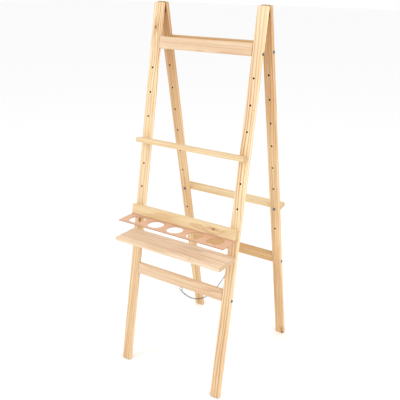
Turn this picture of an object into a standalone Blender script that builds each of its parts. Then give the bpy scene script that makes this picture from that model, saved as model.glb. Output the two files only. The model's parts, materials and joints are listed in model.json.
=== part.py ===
"""Folding wooden easel: two ladder frames hinged together at the top and held by a chain.

Metres, +Z up. X runs across the easel, the front faces -Y. The origin is on the floor, under the
middle of the bounding box. Each frame is drawn in its own slanted coordinates: u across, n outwards
from the hinge plane, and s down along the leg from its top end.
"""

import math

import bmesh
import bpy
from mathutils import Matrix, Vector

MM = 0.001

# The two ladder frames
LEG_LENGTH = 1500 * MM
LEG_WIDTH = 40 * MM
LEG_THICKNESS = 18 * MM
FRAME_WIDTH = 497 * MM
LEAN = math.radians(10.5)
EDGE_ROUND = 2.5 * MM
RAIL_HEIGHT = 46 * MM
TOP_RAIL_START = 128 * MM
LOWER_RAIL_START = 1055 * MM
RAIL_END_GAP = 0.6 * MM
RAIL_SCREW_DROP = 36 * MM

# Rows of holes in the legs
FIRST_HOLE = 250 * MM
HOLE_PITCH = 96 * MM
HOLE_COUNT = 8
LEDGE_HOLE = 4
REAR_LEDGE_HOLE = 7
BOARD_HOLE = 7
SHELF_HOLE = 8

# Hinges
PIN_RISE = 3 * MM
PIN_DIAMETER = 2.8 * MM
PIN_HEAD_DIAMETER = 4.4 * MM
KNUCKLE_DIAMETER = 5.6 * MM
LEAF_THICKNESS = 1.2 * MM
LEAF_WIDTH = 30 * MM
LEAF_DEPTH = 38 * MM
LEAF_SCREW_DROPS = (14 * MM, 30 * MM)
LEAF_SCREW_DIAMETER = 3 * MM
LEAF_SCREW_HEAD_DIAMETER = 6 * MM
LEAF_SCREW_LENGTH = 15 * MM

# Ledges that carry a picture, front and rear
LEDGE_DEPTH = 40 * MM
LEDGE_HEIGHT = 18 * MM

# Board, perforated plate and shelf on the front frame
BOARD_THICKNESS = 24 * MM
BOARD_ABOVE_HOLE = 21 * MM
BOARD_BELOW_HOLE = 15.5 * MM
PLATE_THICKNESS = 4 * MM
PLATE_DEPTH = 105 * MM
CUP_DIAMETER = 66 * MM
CUP_PITCH = 93 * MM
CUP_COUNT = 5
CUP_INSET = 44 * MM
PLATE_SCREW_REACH = 140 * MM
PLATE_SCREW_DIAMETER = 3.5 * MM
PLATE_SCREW_HEAD_DIAMETER = 7 * MM
PLATE_SCREW_TOP_DIAMETER = 4.9 * MM
PLATE_SCREW_HEAD_HEIGHT = 1.8 * MM
PLATE_SCREW_LENGTH = 20 * MM
SHELF_THICKNESS = 16 * MM
SHELF_DEPTH = 117 * MM
SHELF_BELOW_HOLE = 6 * MM
SHELF_NOSE_RADIUS = 5 * MM
GROOVE_INSET = 13 * MM
GROOVE_WIDTH = 4 * MM
GROOVE_DEPTH = 2 * MM

# Bolts, nuts and screws
BOLT_DIAMETER = 6 * MM
BOLT_HEAD_DIAMETER = 12 * MM
BOLT_HEAD_HEIGHT = 3 * MM
# A domed head's outline: the share of its radius and of its height at each point
HEAD_CROWN = ((0.55, 1.0), (0.88, 0.62), (1.0, 0.2))
SOCKET_DIAMETER = 4 * MM
SOCKET_DEPTH = 1.8 * MM
RAIL_SCREW_REACH = 33 * MM
INSERT_DIAMETER = 9 * MM
INSERT_LENGTH = 13 * MM
LEDGE_BOLT_REACH = 20 * MM
FIXING_SCREW_DIAMETER = 5 * MM
FIXING_SCREW_HEAD_HEIGHT = 2.5 * MM
FIXING_SCREW_REACH = 16 * MM

# Chain and its screw eyes
EYE_WIRE_DIAMETER = 2.2 * MM
EYE_RING_RADIUS = 6.1 * MM
EYE_NECK = 2.5 * MM
EYE_SHANK = 20 * MM
EYE_MOUTH = math.radians(26)
EYE_OFFSET = 12 * MM
CHAIN_WIDTH = 6.5 * MM
# The chain's own route, front to rear: (Y, Z) of the points it hangs through.
CHAIN_ROUTE = (
    (-0.2079, 0.3774),
    (-0.1898, 0.3570),
    (-0.1703, 0.3378),
    (-0.1494, 0.3198),
    (-0.1270, 0.3036),
    (-0.1031, 0.2893),
    (-0.0776, 0.2776),
    (-0.0508, 0.2688),
    (-0.0230, 0.2632),
    (0.0053, 0.2613),
    (0.0336, 0.2632),
    (0.0614, 0.2688),
    (0.0882, 0.2776),
    (0.1136, 0.2893),
    (0.1376, 0.3036),
    (0.1600, 0.3198),
    (0.1809, 0.3378),
    (0.2003, 0.3570),
    (0.2185, 0.3774),
)
CHAIN_STEPS = 2

# Fits
SEAT_GAP = 0.3 * MM
BORE_GAP = 0.5 * MM
HOLE_CLEARANCE = 1 * MM
KNUCKLE_GAP = 0.4 * MM
PLATE_REAR_GAP = 1 * MM
ROUND_SIDES = 12
CUP_SIDES = 32
NOSE_STEPS = 5
KNUCKLE_STEPS = 20
RING_STEPS = 22
WELD = 0.001 * MM
SHARP_ANGLE = math.radians(35)

FRONT, REAR = -1, 1
HANDS = (("left", -1), ("right", 1))

# Places that follow from the sizes above
HOLE_DIAMETER = BOLT_DIAMETER + HOLE_CLEARANCE
INNER_FACE = LEAF_THICKNESS + 2 * SEAT_GAP
OUTER_FACE = INNER_FACE + LEG_THICKNESS
SEAT_FACE = OUTER_FACE + SEAT_GAP
MIDDLE = INNER_FACE + LEG_THICKNESS / 2
LEG_CENTRE = FRAME_WIDTH / 2 - LEG_WIDTH / 2
RAIL_LENGTH = FRAME_WIDTH - 2 * LEG_WIDTH - 2 * RAIL_END_GAP
PIN_HEIGHT = (LEG_LENGTH + PIN_RISE) * math.cos(LEAN) - (INNER_FACE + EDGE_ROUND) * math.sin(LEAN)


def hole_drop(number):
    """How far hole number lies below the leg's top end."""
    return FIRST_HOLE + (number - 1) * HOLE_PITCH


def front_y(n, z):
    """Y, from the hinge pin, of the front frame's plane n at height z from the pin."""
    return z * math.tan(LEAN) - n / math.cos(LEAN)


def front_z(n, drop):
    """Z, from the hinge pin, of the point of the front frame at n and drop."""
    return -(drop + PIN_RISE) * math.cos(LEAN) + n * math.sin(LEAN)


BOARD_BOTTOM = front_z(OUTER_FACE, hole_drop(BOARD_HOLE)) - BOARD_BELOW_HOLE
PLATE_TOP = BOARD_BOTTOM - SEAT_GAP
PLATE_REAR = front_y(OUTER_FACE, PLATE_TOP - PLATE_THICKNESS) - PLATE_REAR_GAP
PLATE_SCREW_Y = front_y(SEAT_FACE + BOARD_THICKNESS / 2, BOARD_BOTTOM)
SHELF_BOTTOM = front_z(OUTER_FACE, hole_drop(SHELF_HOLE)) - SHELF_BELOW_HOLE
SHELF_TOP = SHELF_BOTTOM + SHELF_THICKNESS
SHELF_FRONT = front_y(SEAT_FACE, SHELF_TOP) - SHELF_DEPTH
REAR_REACH = (LEG_LENGTH + PIN_RISE - EDGE_ROUND) * math.sin(LEAN) + OUTER_FACE * math.cos(LEAN)
PIN_Y = (-SHELF_FRONT - REAR_REACH) / 2


def clear_scene():
    """Removes what the file opens with."""
    for thing in list(bpy.data.objects):
        bpy.data.objects.remove(thing, do_unlink=True)


def new_collection(name):
    """A collection linked to the scene."""
    collection = bpy.data.collections.new(name)
    bpy.context.scene.collection.children.link(collection)
    return collection


def new_material(name, colour, roughness, metallic=0.0):
    """A plain Principled material."""
    material = bpy.data.materials.new(name)
    material.use_nodes = True
    shader = material.node_tree.nodes["Principled BSDF"]
    shader.inputs["Base Color"].default_value = (*colour, 1.0)
    shader.inputs["Roughness"].default_value = roughness
    shader.inputs["Metallic"].default_value = metallic
    material.diffuse_color = (*colour, 1.0)
    return material


class Workshop:
    """The collections and materials that every piece is made with."""

    def __init__(self):
        self.parts = new_collection("easel")
        self.cutters = new_collection("easel_cutters")
        self.cutters.hide_render = True
        self.pine = new_material("pine", (0.80, 0.60, 0.38), 0.55)
        self.hardboard = new_material("hardboard", (0.60, 0.38, 0.25), 0.6)
        self.steel = new_material("zinc_plated_steel", (0.62, 0.62, 0.63), 0.35, 1.0)

    def empty(self, name, turn):
        """An empty on the hinge pin's axis, turned about it."""
        axis = bpy.data.objects.new(name, None)
        axis.location = (0, PIN_Y, PIN_HEIGHT)
        axis.rotation_euler = (turn, 0, 0)
        self.parts.objects.link(axis)
        return axis

    def piece(self, name, mesh, parent, material, location=(0, 0, 0), rotation=(0, 0, 0)):
        """Puts a mesh in the parts collection as a named sub-part."""
        made = bpy.data.objects.new(name, mesh)
        made.parent = parent
        made.location = location
        made.rotation_euler = rotation
        mesh.materials.append(material)
        self.parts.objects.link(made)
        return made

    def cut(self, piece, shapes):
        """Cuts the shapes, given in the piece's parent's coordinates, out of the piece."""
        mesh = bmesh.new()
        for shape in shapes:
            shape(mesh)
        cutter = bpy.data.objects.new(f"{piece.name}_cutter", bpy.data.meshes.new(f"{piece.name}_cutter"))
        mesh.to_mesh(cutter.data)
        mesh.free()
        cutter.parent = piece.parent
        cutter.hide_render = True
        cutter.display_type = "WIRE"
        self.cutters.objects.link(cutter)
        boolean = piece.modifiers.new("cuts", "BOOLEAN")
        boolean.operation = "DIFFERENCE"
        boolean.solver = "EXACT"
        boolean.use_self = True
        boolean.object = cutter


AXIS_TURNS = {
    "X": Matrix.Rotation(math.pi / 2, 4, "Y"),
    "Y": Matrix.Rotation(-math.pi / 2, 4, "X"),
    "Z": Matrix.Identity(4),
}


def rod(diameter, length, centre, axis, sides=ROUND_SIDES, end_diameter=None):
    """A cutter shape: a cylinder, or a cone if its +axis end has another diameter."""

    def add(mesh):
        bmesh.ops.create_cone(
            mesh,
            cap_ends=True,
            segments=sides,
            radius1=diameter / 2,
            radius2=(end_diameter or diameter) / 2,
            depth=length,
            matrix=Matrix.Translation(centre) @ AXIS_TURNS[axis],
        )

    return add


def block(size, centre):
    """A cutter shape: a box."""

    def add(mesh):
        matrix = Matrix.Translation(centre) @ Matrix.Diagonal((*size, 1.0))
        bmesh.ops.create_cube(mesh, size=1.0, matrix=matrix)

    return add


def box_mesh(name, size):
    """A box about its own middle."""
    mesh = bmesh.new()
    bmesh.ops.create_cube(mesh, size=1.0, matrix=Matrix.Diagonal((*size, 1.0)))
    data = bpy.data.meshes.new(name)
    mesh.to_mesh(data)
    mesh.free()
    return data


def soften(piece, radius=EDGE_ROUND, segments=2):
    """Rounds a plank's edges."""
    bevel = piece.modifiers.new("edges", "BEVEL")
    bevel.width = radius
    bevel.segments = segments
    bevel.limit_method = "ANGLE"


def turned(name, profile, shop, parent, material, location, rotation, sides=ROUND_SIDES):
    """A turned piece about its Z axis. The profile's (radius, z) points run from top to bottom."""
    mesh = bmesh.new()
    points = [mesh.verts.new((radius, 0, z)) for radius, z in profile]
    for first, second in zip(points, points[1:]):
        mesh.edges.new((first, second))
    data = bpy.data.meshes.new(name)
    mesh.to_mesh(data)
    mesh.free()
    piece = shop.piece(name, data, parent, material, location, rotation)
    screw = piece.modifiers.new("turn", "SCREW")
    screw.axis = "Z"
    screw.angle = 2 * math.pi
    screw.steps = sides
    screw.render_steps = sides
    screw.use_merge_vertices = True
    screw.merge_threshold = WELD
    screw.use_smooth_shade = True
    return piece


def mesh_of_curve(name, curve):
    """The closed mesh of a curve with its caps welded on."""
    holder = bpy.data.objects.new(name, curve)
    bpy.context.scene.collection.objects.link(holder)
    graph = bpy.context.evaluated_depsgraph_get()
    data = bpy.data.meshes.new_from_object(holder.evaluated_get(graph))
    bpy.data.objects.remove(holder, do_unlink=True)
    mesh = bmesh.new()
    mesh.from_mesh(data)
    bmesh.ops.remove_doubles(mesh, verts=mesh.verts, dist=2 * WELD)
    bmesh.ops.recalc_face_normals(mesh, faces=mesh.faces)
    mesh.to_mesh(data)
    mesh.free()
    data.name = name
    return data


def extruded_mesh(name, outline, width):
    """A solid of one (y, z) outline all along X, centred on x = 0."""
    curve = bpy.data.curves.new(name, "CURVE")
    curve.dimensions = "2D"
    curve.fill_mode = "BOTH"
    curve.extrude = width / 2
    spline = curve.splines.new("POLY")
    spline.points.add(len(outline) - 1)
    for point, (y, z) in zip(spline.points, outline):
        point.co = (y, z, 0, 1)
    spline.use_cyclic_u = True
    data = mesh_of_curve(name, curve)
    data.transform(Matrix(((0, 0, 1, 0), (1, 0, 0, 0), (0, 1, 0, 0), (0, 0, 0, 1))))
    return data


def wire_mesh(name, points, diameter):
    """A round wire along the points, with flat ends."""
    curve = bpy.data.curves.new(name, "CURVE")
    curve.dimensions = "3D"
    curve.bevel_depth = diameter / 2
    curve.bevel_resolution = 2
    curve.use_fill_caps = True
    spline = curve.splines.new("POLY")
    spline.points.add(len(points) - 1)
    for point, place in zip(spline.points, points):
        point.co = (*place, 1)
    return mesh_of_curve(name, curve)


def arc(centre, radius, start, end, steps):
    """Points of a round stretch of an outline, both ends included."""
    turns = [start + (end - start) * i / steps for i in range(steps + 1)]
    return [(centre[0] + radius * math.cos(t), centre[1] + radius * math.sin(t)) for t in turns]


def bolt_profile(diameter, head_height, length):
    """A button-head bolt: z = 0 is the underside of its head."""
    head = BOLT_HEAD_DIAMETER / 2
    return [
        (0, head_height - SOCKET_DEPTH),
        (SOCKET_DIAMETER / 2, head_height - SOCKET_DEPTH),
        (SOCKET_DIAMETER / 2, head_height),
        *((head * across, head_height * up) for across, up in HEAD_CROWN),
        (head, 0),
        (diameter / 2, 0),
        (diameter / 2, -length),
        (0, -length),
    ]


class Frame:
    """One ladder frame: two legs, two rails and the fasteners that hold them."""

    def __init__(self, shop, name, side):
        self.shop = shop
        self.name = name
        self.side = side
        self.axis = shop.empty(f"{name}_frame_axis", side * LEAN)
        self.outward_head = (-side * math.pi / 2, 0, 0)
        self.inward_head = (side * math.pi / 2, 0, 0)

    def at(self, u, n, drop):
        """A place in the frame's own coordinates."""
        return Vector((u, self.side * n, -(drop + PIN_RISE)))

    def legs(self):
        """The two legs, with their row of holes and the bores for bolts and hinge screws."""
        rail_screws = (TOP_RAIL_START + RAIL_SCREW_DROP, LOWER_RAIL_START + RAIL_SCREW_DROP)
        for hand, sign in HANDS:
            u = sign * LEG_CENTRE
            leg = self.shop.piece(
                f"{self.name}_leg_{hand}",
                box_mesh("leg", (LEG_WIDTH, LEG_THICKNESS, LEG_LENGTH)),
                self.axis,
                self.shop.pine,
                self.at(u, MIDDLE, LEG_LENGTH / 2),
            )
            soften(leg)
            through = 2 * LEG_THICKNESS
            shapes = [
                rod(HOLE_DIAMETER, through, self.at(u, MIDDLE, hole_drop(number)), "Y")
                for number in range(1, HOLE_COUNT + 1)
            ]
            bore = BOLT_DIAMETER + 2 * BORE_GAP
            shapes += [rod(bore, 2 * LEG_WIDTH, self.at(u, MIDDLE, drop), "X") for drop in rail_screws]
            pilot = LEAF_SCREW_DIAMETER + 2 * BORE_GAP
            shapes += [
                rod(pilot, 2 * LEAF_SCREW_LENGTH, self.at(u, INNER_FACE, drop), "Y")
                for drop in LEAF_SCREW_DROPS
            ]
            self.shop.cut(leg, shapes)

    def rail(self, level, start, eye_bore=False):
        """A rail between the legs, with the screw that runs through each leg into its end."""
        rail = self.shop.piece(
            f"{self.name}_{level}_rail",
            box_mesh("rail", (RAIL_LENGTH, LEG_THICKNESS, RAIL_HEIGHT)),
            self.axis,
            self.shop.pine,
            self.at(0, MIDDLE, start + RAIL_HEIGHT / 2),
        )
        soften(rail)
        drop = start + RAIL_SCREW_DROP
        screw_length = LEG_WIDTH + RAIL_END_GAP + RAIL_SCREW_REACH
        shapes = []
        for hand, sign in HANDS:
            end = sign * RAIL_LENGTH / 2
            bore_length = 2 * (RAIL_SCREW_REACH + BORE_GAP)
            shapes.append(rod(BOLT_DIAMETER + 2 * BORE_GAP, bore_length, self.at(end, MIDDLE, drop), "X"))
            turned(
                f"{self.name}_{level}_rail_screw_{hand}",
                bolt_profile(BOLT_DIAMETER, BOLT_HEAD_HEIGHT, screw_length),
                self.shop,
                self.axis,
                self.shop.steel,
                self.at(sign * (FRAME_WIDTH / 2 + SEAT_GAP), MIDDLE, drop),
                (0, sign * math.pi / 2, 0),
            )
        if eye_bore:
            underside = start + RAIL_HEIGHT
            bore = EYE_WIRE_DIAMETER + 2 * BORE_GAP
            depth = 2 * (EYE_SHANK + BORE_GAP)
            shapes.append(rod(bore, depth, self.at(EYE_OFFSET, MIDDLE, underside), "Z"))
        self.shop.cut(rail, shapes)

    def hinge_leaf(self, hand, sign, knuckles):
        """A hinge leaf on the leg's inner face. knuckles are the thirds of its width that it keeps."""
        radius = KNUCKLE_DIAMETER / 2
        near, far = SEAT_GAP, SEAT_GAP + LEAF_THICKNESS
        start = -math.acos(far / radius)
        end = 2 * math.pi - math.acos(near / radius)
        bottom = -(PIN_RISE + LEAF_DEPTH)
        outline = arc((0, 0), radius, start, end, KNUCKLE_STEPS) + [(near, bottom), (far, bottom)]
        outline = [(self.side * n, z) for n, z in outline]
        leaf = self.shop.piece(
            f"hinge_{hand}_{self.name}_leaf",
            extruded_mesh("hinge_leaf", outline, LEAF_WIDTH),
            self.axis,
            self.shop.steel,
            (sign * LEG_CENTRE, 0, 0),
        )
        u = sign * LEG_CENTRE
        third = LEAF_WIDTH / 3
        clear = KNUCKLE_DIAMETER + 2 * KNUCKLE_GAP
        shapes = [rod(PIN_DIAMETER + 2 * SEAT_GAP, 2 * LEAF_WIDTH, (u, 0, 0), "X")]
        for place in sorted({-1, 0, 1} - set(knuckles)):
            width = 2 * third if place else third + KNUCKLE_GAP
            inner_end = third / 2 - KNUCKLE_GAP / 2
            centre = u + place * (inner_end + width / 2)
            shapes.append(block((width, clear, clear), (centre, 0, 0)))
        countersink = LEAF_SCREW_HEAD_DIAMETER + 2 * SEAT_GAP
        pilot = LEAF_SCREW_DIAMETER + 2 * BORE_GAP
        for drop in LEAF_SCREW_DROPS:
            shapes.append(rod(pilot, 4 * LEAF_THICKNESS, self.at(u, far, drop), "Y"))
            shapes.append(self.countersink(u, drop, countersink, pilot))
        self.shop.cut(leaf, shapes)
        for number, drop in enumerate(LEAF_SCREW_DROPS, start=1):
            turned(
                f"hinge_{hand}_{self.name}_screw_{number}",
                [
                    (0, 0),
                    (LEAF_SCREW_HEAD_DIAMETER / 2, 0),
                    (LEAF_SCREW_DIAMETER / 2, -LEAF_THICKNESS),
                    (LEAF_SCREW_DIAMETER / 2, -LEAF_SCREW_LENGTH + LEAF_SCREW_DIAMETER),
                    (0, -LEAF_SCREW_LENGTH),
                ],
                self.shop,
                self.axis,
                self.shop.steel,
                self.at(u, near, drop),
                self.inward_head,
            )

    def countersink(self, u, drop, wide, narrow):
        """The leaf's dished hole, wide on the hinge's inner side."""
        length = LEAF_THICKNESS + SEAT_GAP
        centre = self.at(u, length / 2, drop)
        if self.side == FRONT:
            return rod(narrow, length, centre, "Y", end_diameter=wide)
        return rod(wide, length, centre, "Y", end_diameter=narrow)

    def ledge(self, hole, bolt_owner):
        """A picture ledge across the legs' outer faces, its threaded inserts and its two bolts."""
        drop = hole_drop(hole)
        near = SEAT_FACE
        ledge = self.shop.piece(
            f"{self.name}_ledge",
            box_mesh("ledge", (FRAME_WIDTH, LEDGE_DEPTH, LEDGE_HEIGHT)),
            self.axis,
            self.shop.pine,
            self.at(0, near + LEDGE_DEPTH / 2, drop),
        )
        soften(ledge)
        bolt_length = OUTER_FACE - INNER_FACE + LEDGE_BOLT_REACH
        shapes = []
        for hand, sign in HANDS:
            u = sign * LEG_CENTRE
            insert_bore = 2 * (INSERT_LENGTH + 2 * SEAT_GAP)
            shapes.append(rod(INSERT_DIAMETER + 2 * BORE_GAP, insert_bore, self.at(u, near, drop), "Y"))
            tip_bore = 2 * (LEDGE_BOLT_REACH + 2 * BORE_GAP)
            shapes.append(rod(BOLT_DIAMETER + 2 * BORE_GAP, tip_bore, self.at(u, near, drop), "Y"))
            self.insert(f"{self.name}_ledge_insert_{hand}", u, near + SEAT_GAP, drop)
            turned(
                f"{self.name}_ledge_bolt_{hand}",
                bolt_profile(BOLT_DIAMETER, BOLT_HEAD_HEIGHT, bolt_length),
                self.shop,
                bolt_owner,
                self.shop.steel,
                self.at(u, INNER_FACE - SEAT_GAP, drop),
                self.inward_head,
            )
        self.shop.cut(ledge, shapes)

    def insert(self, name, u, near, drop):
        """A threaded insert, sunk in the wood so that a bolt can be taken out and put back."""
        inner, outer = (BOLT_DIAMETER + BORE_GAP) / 2, INSERT_DIAMETER / 2
        turned(
            name,
            [(inner, 0), (outer, 0), (outer, -INSERT_LENGTH), (inner, -INSERT_LENGTH), (inner, 0)],
            self.shop,
            self.axis,
            self.shop.steel,
            self.at(u, near, drop),
            self.inward_head,
        )

    def fixing_screw(self, name, u, drop):
        """A wood screw through a leg's hole, with its head on the leg's inner face."""
        turned(
            name,
            bolt_profile(FIXING_SCREW_DIAMETER, FIXING_SCREW_HEAD_HEIGHT, LEG_THICKNESS + FIXING_SCREW_REACH),
            self.shop,
            self.axis,
            self.shop.steel,
            self.at(u, INNER_FACE - SEAT_GAP, drop),
            self.inward_head,
        )

    def screw_eye(self, drop):
        """A screw eye in the lower rail's underside: one wire, bent round to a ring."""
        ring_centre = -(EYE_NECK + EYE_RING_RADIUS)
        start = math.pi / 2 + EYE_MOUTH
        end = start + 2 * math.pi - 2 * EYE_MOUTH
        ring = arc((0, ring_centre), EYE_RING_RADIUS, math.pi / 2, end, RING_STEPS)
        points = [(0, 0, EYE_SHANK), (0, 0, 0)] + [(x, 0, z) for x, z in ring]
        self.shop.piece(
            f"chain_eye_{self.name}",
            wire_mesh("screw_eye", points, EYE_WIRE_DIAMETER),
            self.axis,
            self.shop.steel,
            self.at(EYE_OFFSET, MIDDLE, drop),
        )


def hinge_pins(shop, parent):
    """The two headed pins that join the leaves."""
    length = LEAF_WIDTH / 2 + 2 * SEAT_GAP
    head, pin = PIN_HEAD_DIAMETER / 2, PIN_DIAMETER / 2
    for hand, sign in HANDS:
        turned(
            f"hinge_{hand}_pin",
            [
                (0, length + pin),
                (head, length + pin / 2),
                (head, length),
                (pin, length),
                (pin, -length),
                (head, -length),
                (head, -length - pin / 2),
                (0, -length - pin),
            ],
            shop,
            parent,
            shop.steel,
            (sign * LEG_CENTRE, 0, 0),
            (0, math.pi / 2, 0),
        )


def front_fittings(shop, frame, level):
    """The board, the perforated plate and the shelf on the front frame, with their screws."""
    board(shop, frame, level)
    cup_plate(shop, level)
    shelf(shop, frame, level)


def slanted_bores(frame, diameter, hole, reach):
    """Cutter shapes, in level coordinates, for screws that run square to the slanted frame."""
    shapes = []
    for _, sign in HANDS:
        start = frame.at(sign * LEG_CENTRE, OUTER_FACE, hole_drop(hole))
        tilt = Matrix.Rotation(frame.side * LEAN, 4, "X")

        def add(mesh, matrix=tilt @ Matrix.Translation(start) @ AXIS_TURNS["Y"]):
            bmesh.ops.create_cone(
                mesh,
                cap_ends=True,
                segments=ROUND_SIDES,
                radius1=diameter / 2,
                radius2=diameter / 2,
                depth=2 * reach,
                matrix=matrix,
            )

        shapes.append(add)
    return shapes


def board(shop, frame, level):
    """The board behind the cups: square to the legs, with a level underside."""
    near = SEAT_FACE
    far = near + BOARD_THICKNESS
    drop = hole_drop(BOARD_HOLE) - BOARD_ABOVE_HOLE
    turn = Matrix.Rotation(frame.side * LEAN, 4, "X")
    top = [turn @ frame.at(0, n, drop) for n in (near, far)]
    outline = [
        (top[0].y, top[0].z),
        (top[1].y, top[1].z),
        (front_y(far, BOARD_BOTTOM), BOARD_BOTTOM),
        (front_y(near, BOARD_BOTTOM), BOARD_BOTTOM),
    ]
    made = shop.piece("back_board", extruded_mesh("back_board", outline, FRAME_WIDTH), level, shop.pine)
    soften(made)
    shapes = slanted_bores(
        frame, FIXING_SCREW_DIAMETER + 2 * BORE_GAP, BOARD_HOLE, FIXING_SCREW_REACH + 2 * BORE_GAP
    )
    for hand, sign in HANDS:
        frame.fixing_screw(f"board_screw_{hand}", sign * LEG_CENTRE, hole_drop(BOARD_HOLE))
        place = (sign * PLATE_SCREW_REACH, PLATE_SCREW_Y, BOARD_BOTTOM)
        shapes.append(rod(PLATE_SCREW_DIAMETER + 2 * BORE_GAP, 2 * PLATE_SCREW_LENGTH, place, "Z"))
        radius, head = PLATE_SCREW_DIAMETER / 2, PLATE_SCREW_HEAD_DIAMETER / 2
        under = PLATE_SCREW_LENGTH - PLATE_THICKNESS
        turned(
            f"plate_screw_{hand}",
            [
                (0, under),
                (radius, under - PLATE_SCREW_DIAMETER),
                (radius, -PLATE_THICKNESS - SEAT_GAP),
                (head, -PLATE_THICKNESS - SEAT_GAP),
                (PLATE_SCREW_TOP_DIAMETER / 2, -PLATE_THICKNESS - SEAT_GAP - PLATE_SCREW_HEAD_HEIGHT),
                (0, -PLATE_THICKNESS - SEAT_GAP - PLATE_SCREW_HEAD_HEIGHT),
            ],
            shop,
            level,
            shop.steel,
            (sign * PLATE_SCREW_REACH, PLATE_SCREW_Y, PLATE_TOP),
            (0, 0, 0),
        )
    shop.cut(made, shapes)


def cup_plate(shop, level):
    """The level plate under the board, with a row of round holes for water cups."""
    plate = shop.piece(
        "cup_plate",
        box_mesh("cup_plate", (FRAME_WIDTH, PLATE_DEPTH, PLATE_THICKNESS)),
        level,
        shop.hardboard,
        (0, PLATE_REAR - PLATE_DEPTH / 2, PLATE_TOP - PLATE_THICKNESS / 2),
    )
    cup_y = PLATE_REAR - PLATE_DEPTH + CUP_INSET
    shapes = []
    for number in range(CUP_COUNT):
        x = (number - (CUP_COUNT - 1) / 2) * CUP_PITCH
        shapes.append(rod(CUP_DIAMETER, 4 * PLATE_THICKNESS, (x, cup_y, PLATE_TOP), "Z", CUP_SIDES))
    for _, sign in HANDS:
        place = (sign * PLATE_SCREW_REACH, PLATE_SCREW_Y, PLATE_TOP)
        shapes.append(rod(PLATE_SCREW_DIAMETER + 2 * BORE_GAP, 4 * PLATE_THICKNESS, place, "Z"))
    shop.cut(plate, shapes)


def shelf(shop, frame, level):
    """The lower shelf: level, with a rounded nose and one shallow groove that stops a pencil."""
    radius = SHELF_NOSE_RADIUS
    groove = SHELF_FRONT + GROOVE_INSET
    outline = [
        (front_y(SEAT_FACE, SHELF_TOP), SHELF_TOP),
        (groove + GROOVE_WIDTH, SHELF_TOP),
        (groove + GROOVE_WIDTH, SHELF_TOP - GROOVE_DEPTH),
        (groove, SHELF_TOP - GROOVE_DEPTH),
        (groove, SHELF_TOP),
    ]
    upper = (SHELF_FRONT + radius, SHELF_TOP - radius)
    lower = (SHELF_FRONT + radius, SHELF_BOTTOM + radius)
    outline += arc(upper, radius, math.pi / 2, math.pi, NOSE_STEPS)
    outline += arc(lower, radius, math.pi, 1.5 * math.pi, NOSE_STEPS)
    outline.append((front_y(SEAT_FACE, SHELF_BOTTOM), SHELF_BOTTOM))
    made = shop.piece("shelf", extruded_mesh("shelf", outline, FRAME_WIDTH), level, shop.pine)
    bore = FIXING_SCREW_DIAMETER + 2 * BORE_GAP
    shop.cut(made, slanted_bores(frame, bore, SHELF_HOLE, FIXING_SCREW_REACH + 2 * BORE_GAP))
    for hand, sign in HANDS:
        frame.fixing_screw(f"shelf_screw_{hand}", sign * LEG_CENTRE, hole_drop(SHELF_HOLE))


def smooth_route(points, steps):
    """Points read from a smooth curve through the given ones, steps to each stretch."""
    ends = [2 * points[0] - points[1]] + points + [2 * points[-1] - points[-2]]
    route = []
    for before, first, second, after in zip(ends, ends[1:], ends[2:], ends[3:]):
        for step in range(steps):
            t = step / steps
            route.append(
                0.5
                * (
                    2 * first
                    + (second - before) * t
                    + (2 * before - 5 * first + 4 * second - after) * t**2
                    + (3 * first - before - 3 * second + after) * t**3
                )
            )
    return route + [points[-1]]


def chain(shop):
    """The room that the slack chain takes up, as one round tube between its two eyes."""
    points = smooth_route([Vector((EYE_OFFSET, y, z)) for y, z in CHAIN_ROUTE], CHAIN_STEPS)
    shop.piece("chain", wire_mesh("chain", points, CHAIN_WIDTH), None, shop.steel)


def main():
    """Builds the easel, open and standing."""
    clear_scene()
    shop = Workshop()
    front = Frame(shop, "front", FRONT)
    rear = Frame(shop, "rear", REAR)
    level = shop.empty("fittings_axis", 0)
    for frame in (front, rear):
        frame.legs()
        frame.rail("top", TOP_RAIL_START)
        frame.rail("lower", LOWER_RAIL_START, eye_bore=True)
        frame.screw_eye(LOWER_RAIL_START + RAIL_HEIGHT)
    for hand, sign in HANDS:
        front.hinge_leaf(hand, sign, (-1, 1))
        rear.hinge_leaf(hand, sign, (0,))
    hinge_pins(shop, front.axis)
    front.ledge(LEDGE_HOLE, front.axis)
    rear.ledge(REAR_LEDGE_HOLE, rear.axis)
    front_fittings(shop, front, level)
    chain(shop)
    for piece in shop.parts.objects:
        if piece.type == "MESH":
            piece.data.set_sharp_from_angle(angle=SHARP_ANGLE)


if __name__ == "__main__":
    main()
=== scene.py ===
"""Folding pine easel, dressed for a close look.

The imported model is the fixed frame: its joints give the hinge and the two slopes, and its nodes give the
places of the level fittings. Every board is cut in its own stock coordinates, in metres from the middle
of the plank: x across it, y through its thickness and z along the grain. So the wood's figure runs the
right way through each of its faces.
"""

import functools
import json
import logging
import math
import random
import zlib
from collections.abc import Sequence
from dataclasses import dataclass, field
from enum import Enum
from typing import Any

import bmesh
import bpy
import numpy as np
from mathutils import Matrix, Vector


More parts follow.
